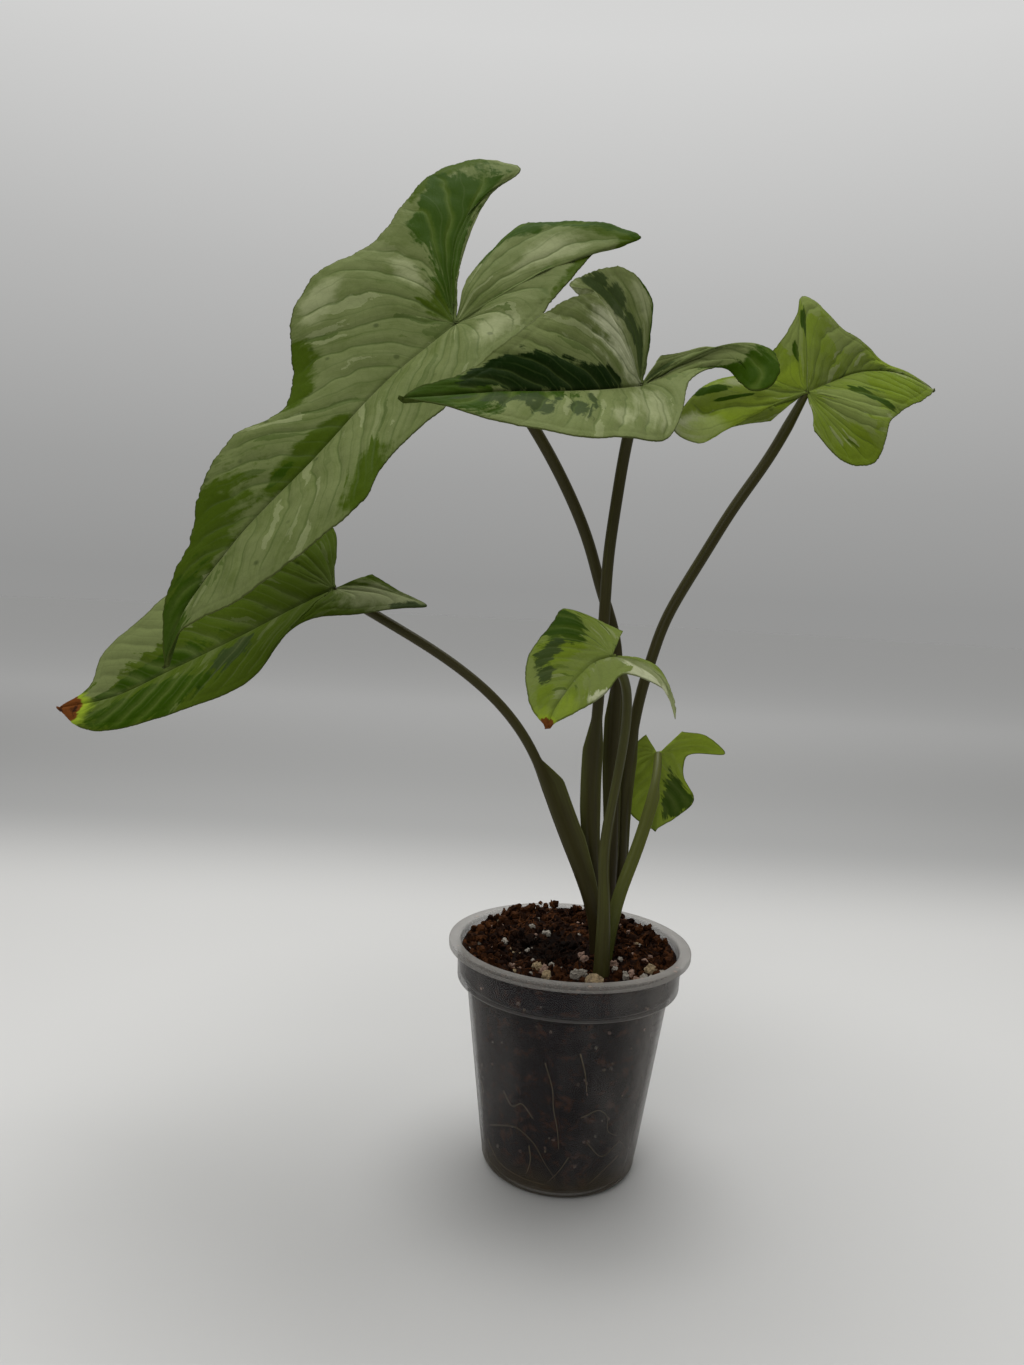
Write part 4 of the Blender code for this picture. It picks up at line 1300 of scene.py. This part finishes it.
def soil_material(name, attribute=None):
    chosen = settings()
    shader = Shader(name, Specular_IOR_Level=0.03)
    where = shader.place()
    clods = shader.noise(where, 240.0, 5.0, 0.65)
    grit = shader.noise(where, 1100.0 if attribute else 380.0, 3.0, 0.6)
    threads = shader.noise(shader.place((1.0, 0.25, 1.0)), 620.0, 4.0, 0.6)
    reddish = shader.ease(clods + (grit - 0.5) * 0.7, 0.50, 0.72) * 0.9
    if attribute:
        reddish = reddish * 0.4 + shader.attribute(attribute)
    colour = shader.layers(
        chosen.soil_dark,
        (reddish, chosen.soil_red),
        (shader.ease(threads, 0.66, 0.74) * 0.5, STRAW),
        # painted shade where the grit sinks, in step with the bump
        (shader.ease(grit, 0.36, 0.24), GRIT_CREVICE_SHADE),
        # painted shade in the hollow beside the stalks
        (hollow_shade_field(shader, where) * 0.85, HOLLOW_SHADE),
    )
    normal = shader.bump(grit + clods * 0.6, 0.0008, 0.6)
    return shader.end(Base_Color=colour, Roughness=0.72 + (grit - 0.5) * 0.4, Normal=normal)


class PLANT_OT_soil(bpy.types.Operator):
    """Make the bed of damp potting mix that fills the pot"""

    bl_idname = "plant.soil"
    bl_label = "Soil"

    def execute(self, context):
        top_radius = bed_radius(SOIL_LEVEL)
        rings = [(top_radius * step / BED_RINGS, SOIL_LEVEL) for step in range(BED_RINGS + 1)]
        heights = np.linspace(SOIL_LEVEL - 1.0, WALL_FOOT, WALL_RINGS)
        wall = [(bed_radius(height), height) for height in heights]
        under = POT_FLOOR + FLOOR_GAP
        base = [(bed_radius(WALL_FOOT) - 2.5, under), (0.0, under)]
        bm = turned([*rings, *wall, *base], BED_SIDES)
        for vert in bm.verts:
            x, y, z = (value / MM for value in vert.co)
            away = math.hypot(x, y)
            if z > SOIL_LEVEL - 0.5:
                fade = min(1.0, (top_radius - away) / 2.0)
                vert.co.z = (soil_height(x, y) + soil_crumble(x, y) * fade) * MM
            elif away > 5.0:
                broad, fine = (bumps(x, y, size, z / size) for size in (3.0, 1.0))
                dent = max(0.0, 0.9 * (0.5 + broad) + 0.4 * fine)
                vert.co.x *= 1 - dent / away
                vert.co.y *= 1 - dent / away
        finished(bm, "soil_bed", [soil_material("soil")], ["soil"])
        return {"FINISHED"}


def scattered(bm, template, place, size, turn, squash, tones, tone, rough):
    """Adds a lump to a bmesh: a ball pushed in and out by noise, turned, flattened and placed."""
    made = bmesh.ops.create_icosphere(bm, subdivisions=template, radius=1.0)["verts"]
    matrix = Euler(turn).to_matrix()
    for vert in made:
        pushed = 1.0 + rough * noise.noise(vert.co * 2.1 + Vector(place) * 0.37)
        point = matrix @ Vector((vert.co.x, vert.co.y * squash[0], vert.co.z * squash[1])) * pushed
        vert.co = (Vector(place) + point * size / 2) * MM
        vert[tones] = tone


def spot_on_soil(draw, edge=1.5):
    """A random place on the top of the soil, clear of the stalks."""
    while True:
        away = (bed_radius(SOIL_LEVEL) - edge) * math.sqrt(draw.random())
        x, y = around(away, draw.uniform(0, FULL_TURN))
        if all(math.dist((x, y), stalk.base) > stalk.base_radius + 1.0 for stalk in STALKS.values()):
            return x, y


def grain_material():
    shader = Shader("pumice", IOR=1.4)
    where = shader.place()
    pores = shader.cells(where, 1400.0, "F1")
    stain = shader.noise(where, 380.0, 4.0, 0.6)
    tone = shader.attribute("tone")
    colour = shader.layers(
        PUMICE_WHITE,
        (shader.ease(tone, 0.0, 1.0), PUMICE_TAN),
        (shader.ease(tone, 1.0, 2.0), PUMICE_PINK),
        (shader.ease(stain, 0.52, 0.72) * 0.75, PUMICE_STAIN),
        (shader.ease(pores, 0.35, 0.15) * 0.5, PUMICE_PORE),
    )
    return shader.end(Base_Color=colour, Roughness=0.85, Normal=shader.bump(pores, 0.0005, 0.8))


class PLANT_OT_potting_mix(bpy.types.Operator):
    """Strew crumbs, coconut fibres and pumice grains over the soil and along the wall"""

    bl_idname = "plant.potting_mix"
    bl_label = "Crumbs, fibres and grains"

    def execute(self, context):
        self.crumbs()
        self.grains()
        self.fibres()
        return {"FINISHED"}

    def crumbs(self):
        draw = random.Random(SEED)
        bm, tones = toned()
        for index in range(settings().crumbs):
            x, y = spot_on_soil(draw)
            size = draw.uniform(0.7, 2.2) if index % 6 else draw.uniform(2.2, 3.8)
            height = soil_height(x, y) + draw.uniform(-0.1, 0.35) * size
            turn = any_turn(draw)
            squash = (draw.uniform(0.5, 0.9), draw.uniform(0.4, 0.8))
            tone = max(0.0, draw.gauss(0.06, 0.22)) + 0.25 * max(0.0, bumps(x, y, 9.0, 0.0))
            detail = 2 if size > 1.4 else 1
            scattered(bm, detail, (x, y, height), size, turn, squash, tones, min(tone, 0.9), 0.75)
        for _ in range(HEAPED_CRUMBS):
            away = bed_radius(SOIL_LEVEL) - draw.uniform(1.2, 7.0)
            x, y = around(away, draw.uniform(0, FULL_TURN))
            size = draw.uniform(1.6, 3.4)
            height = soil_height(x, y) + draw.uniform(0.3, 1.6) + (0.8 if y > 0 else 0.0)
            turn = any_turn(draw)
            tone = draw.uniform(0.0, 0.6)
            scattered(bm, 2, (x, y, height), size, turn, (0.8, 0.7), tones, tone, 0.8)
        finished(bm, "soil_crumbs", [soil_material("crumbs", "tone")], sharp=35)

    def grains(self):
        draw = random.Random(SEED + 1)
        bm, tones = toned()
        spots = list(GRAINS)
        for _ in range(LOOSE_GRAINS):
            spot = spot_on_soil(draw)
            spots.append((*spot, draw.uniform(0.8, 2.0), draw.choice((0, 0, 1, 2, 2))))
        for x, y, size, tone in spots:
            height = soil_height(x, y) + 0.22 * size
            turn = any_turn(draw)
            squash = (draw.uniform(0.65, 0.95), draw.uniform(0.6, 0.9))
            detail = 3 if size > 2.5 else 2
            scattered(bm, detail, (x, y, height), size, turn, squash, tones, float(tone), 0.5)
        for _ in range(WALL_GRAINS):
            turn, height = draw.uniform(0, FULL_TURN), draw.uniform(3.0, 70.0)
            size = draw.uniform(0.5, 1.7)
            place = (*around(bed_radius(height) - 0.30 * size, turn), height)
            tilt, tone = any_turn(draw), draw.choice((0.3, 1.0, 2.0, 2.0))
            scattered(bm, 1, place, size, tilt, (0.8, 0.7), tones, tone, 0.4)
        finished(bm, "pumice_grains", [grain_material()], sharp=40)

    def fibres(self):
        draw = random.Random(SEED + 2)
        bm, tones = toned()
        for _ in range(settings().fibres):
            x, y = spot_on_soil(draw, 3.0)
            heading = draw.uniform(0, FULL_TURN)
            bend = draw.gauss(0.0, 0.12)
            length = draw.uniform(3.0, 10.0)
            route = []
            for step in range(7):
                rise = 0.9 * math.sin(math.pi * step / 6) * draw.uniform(0.3, 1.0)
                away = math.hypot(x, y)
                if away > bed_radius(SOIL_LEVEL) - 1.0:
                    break
                route.append((x, y, soil_height(x, y) + 0.15 + rise))
                heading += bend
                x += math.cos(heading) * length / 6
                y += math.sin(heading) * length / 6
            if len(route) > 3:
                width, tone = draw.uniform(0.09, 0.2), draw.uniform(0.3, 0.95)
                strand(bm, route, width, 5, tones, tone)
        finished(bm, "coir_fibres", [soil_material("fibres", "tone")])


def strand(bm, route, radius, sides, tones, tone, taper=0.35):
    """Adds a thin round strand along a route in millimetres, narrower towards its end."""
    course = Curve(route)
    stations = max(4, 2 * len(route))
    at = np.linspace(0.0, course.marks[-1], stations + 1)
    middles = course(at)
    made = bmesh.ops.create_grid(bm, x_segments=sides, y_segments=stations, size=1.0)["verts"]
    for vert in made:
        angle = math.pi * (vert.co.x + 1)
        station = step_at(vert.co.y, stations)
        first, second = middles[max(0, station - 1)], middles[min(stations, station + 1)]
        heading = Vector(second - first).normalized()
        across = heading.cross(Vector((0.3, 0.2, 1.0))).normalized()
        over = across.cross(heading)
        out = across * math.cos(angle) + over * math.sin(angle)
        width = radius * (1 - (1 - taper) * station / stations)
        vert.co = (Vector(middles[station]) + out * width) * MM
        vert[tones] = tone
    bmesh.ops.remove_doubles(bm, verts=made, dist=1e-6)


def root_material():
    shader = Shader("roots", IOR=1.4)
    fine = shader.noise(shader.place(), 700.0, 3.0, 0.6)
    young = shader.ease(shader.attribute("tone") + (fine - 0.5) * 0.5, 0.0, 1.0)
    colour = shader.mix(young, ROOT_OLD, ROOT_YOUNG)
    return shader.end(Base_Color=colour, Roughness=0.6, Normal=shader.bump(fine, 0.0003, 0.5))


class PLANT_OT_roots(bpy.types.Operator):
    """Lay the roots that show through the wall of the pot"""

    bl_idname = "plant.roots"
    bl_label = "Roots"

    def execute(self, context):
        draw = random.Random(SEED + 3)
        bm, tones = toned()
        routes = [list(route) for route in ROOTS]
        for _ in range(HIDDEN_ROOTS):
            turn, height = draw.uniform(70, 290), draw.uniform(8, 45)
            route = []
            lean = draw.uniform(-1.4, 1.4)
            for _ in range(draw.randint(4, 7)):
                route.append((turn, max(4.5, height)))
                lean += draw.uniform(-0.6, 0.6)
                turn += 7 * lean
                height += draw.uniform(-7, 1)
            routes.append(route)
        for route in routes:
            points = []
            for turn, height in route:
                spot = around(bed_radius(height) - ROOT_DEPTH, math.radians(turn - 90))
                points.append((*spot, height))
            on_wall = Curve(points)
            dense = on_wall(np.linspace(0.0, on_wall.marks[-1], 4 * len(points)))
            pressed = [
                (x * reach, y * reach, z) for x, y, z in dense
                for reach in [(bed_radius(z) - ROOT_DEPTH) / math.hypot(x, y)]
            ]
            width, tone = draw.uniform(0.16, 0.30), draw.uniform(0.1, 1.0)
            strand(bm, pressed, width, 7, tones, tone, 0.5)
        finished(bm, "roots", [root_material()])
        return {"FINISHED"}


# Stage

EYE = (-23.6, -331.6, 191.6)
PITCH = 5.3
ROLL = 3.0
LENS = 27.03
LONG_SIDE = 36.0
FLOOR_RADIUS = 6.0
VIEWER_SIDE = 0.28
# Brightness of the studio by height: the sine of the angle above the horizon, and the tone there.
WORLD_TONES = [(0.0, 0.30), (0.10, 0.35), (0.27, 0.48), (0.45, 0.66), (1.0, 0.68)]
FLOOR_NEAR = (0.58, 0.577, 0.565)
FLOOR_FAR = (0.385, 0.385, 0.38)
FLOOR_FARTHEST = (0.64, 0.64, 0.635)
# Tone of the soft shadow painted on the floor round the pot
FLOOR_PAINTED_SHADOW = (0.30, 0.30, 0.295)


def studio_world():
    """Soft light that is bright overhead and behind the plant, and dim behind the viewer."""
    nodes = Nodes(bpy.data.worlds.new("studio"), "Background")
    where = nodes.node("ShaderNodeTexCoord")
    stops = [(place, (tone, tone, tone * 0.99)) for place, tone in WORLD_TONES]
    ramp = nodes.node("ShaderNodeValToRGB", {"stops": stops}, {0: nodes.axis(where, 2)})
    side = nodes.node("ShaderNodeMapRange", sockets={
        "Value": nodes.axis(where, 1), "From Min": -0.55, "From Max": 0.35, "To Min": VIEWER_SIDE,
    })
    bpy.context.scene.world = nodes.end(Color=ramp, Strength=side)


def floor_material():
    """A plain pale floor that turns grey behind the plant, with a soft shadow painted round the pot.
    """
    shader = Shader("floor", Roughness=0.8, Specular_IOR_Level=0.2)
    where = shader.place()
    depth = shader.axis(where, 1)
    away = shader.node("ShaderNodeVectorMath", {"operation": "LENGTH"}, {0: where}, 1)
    return shader.end(Base_Color=shader.layers(
        FLOOR_NEAR,
        (shader.ease(depth, 0.24, 0.48), FLOOR_FAR),
        (shader.ease(depth, 0.6, 1.4), FLOOR_FARTHEST),
        # painted shadow: the floor is darkened in a soft disc round the pot
        (shader.ease(away, 0.24, 0.05) * 0.30, FLOOR_PAINTED_SHADOW),
    ))


def area_light(name, place, aim, size, power):
    lamp = bpy.data.lights.new(name, "AREA")
    lamp.shape = "DISK"
    lamp.size = size
    lamp.energy = power
    light = linked(name, lamp)
    light.location = place
    light.rotation_euler = (Vector(aim) - Vector(place)).to_track_quat("-Z", "Y").to_euler()


class PLANT_OT_stage(bpy.types.Operator):
    """Set the floor, the soft studio light and the camera of the photograph"""

    bl_idname = "plant.stage"
    bl_label = "Stage"

    def execute(self, context):
        bm = bmesh.new()
        bmesh.ops.create_circle(bm, cap_ends=True, segments=96, radius=FLOOR_RADIUS)
        floor = meshed(bm, "floor", floor_material())
        studio_world()
        bpy.context.scene.view_settings.view_transform = "Standard"
        area_light("overhead", (0.0, 0.15, 1.05), (0.0, 0.0, 0.1), 0.75, 7.5)
        area_light("front", (-0.35, -0.95, 0.75), (0.0, 0.0, 0.15), 0.8, 4.5)
        pitch, roll = math.radians(PITCH), math.radians(ROLL)
        ahead = Vector((0, math.cos(pitch), -math.sin(pitch)))
        side, up = Vector((1, 0, 0)), Vector((0, math.sin(pitch), math.cos(pitch)))
        right = side * math.cos(roll) + up * math.sin(roll)
        above = up * math.cos(roll) - side * math.sin(roll)
        lens = bpy.data.cameras.new("camera")
        lens.lens = LENS
        lens.sensor_width = LONG_SIDE
        lens.clip_start = 0.01
        camera = linked("camera", lens)
        turn = Matrix((right, above, -ahead)).transposed()
        camera.matrix_world = Matrix.LocRotScale(Vector(EYE) * MM, turn.to_quaternion(), None)
        bpy.context.scene.camera = camera
        return {"FINISHED"}


OPERATORS = (
    PLANT_OT_stage, PLANT_OT_pot, PLANT_OT_soil, PLANT_OT_potting_mix, PLANT_OT_roots,
    PLANT_OT_leaf_stalks, PLANT_OT_leaf_blades,
)


class PLANT_PT_parts(bpy.types.Panel):
    """Lists the pieces of the plant, and the sizes and colours that can be changed"""

    bl_idname = "PLANT_PT_parts"
    bl_label = "Arrowhead plant"
    bl_space_type = "VIEW_3D"
    bl_region_type = "UI"
    bl_category = "Plant"

    def draw(self, context):
        for key in PlantSettings.__annotations__:
            self.layout.prop(context.scene.arrowhead_plant, key)
        for operator in OPERATORS:
            self.layout.operator(operator.bl_idname)


def register():
    for kind in (PlantSettings, *OPERATORS, PLANT_PT_parts):
        bpy.utils.register_class(kind)
    bpy.types.Scene.arrowhead_plant = bpy.props.PointerProperty(type=PlantSettings)


def unregister():
    del bpy.types.Scene.arrowhead_plant
    for kind in reversed((PlantSettings, *OPERATORS, PLANT_PT_parts)):
        bpy.utils.unregister_class(kind)


def main():
    register()
    for operator in OPERATORS:
        group, name = operator.bl_idname.split(".")
        getattr(getattr(bpy.ops, group), name)()
    bpy.context.view_layer.update()


if __name__ == "__main__":
    main()
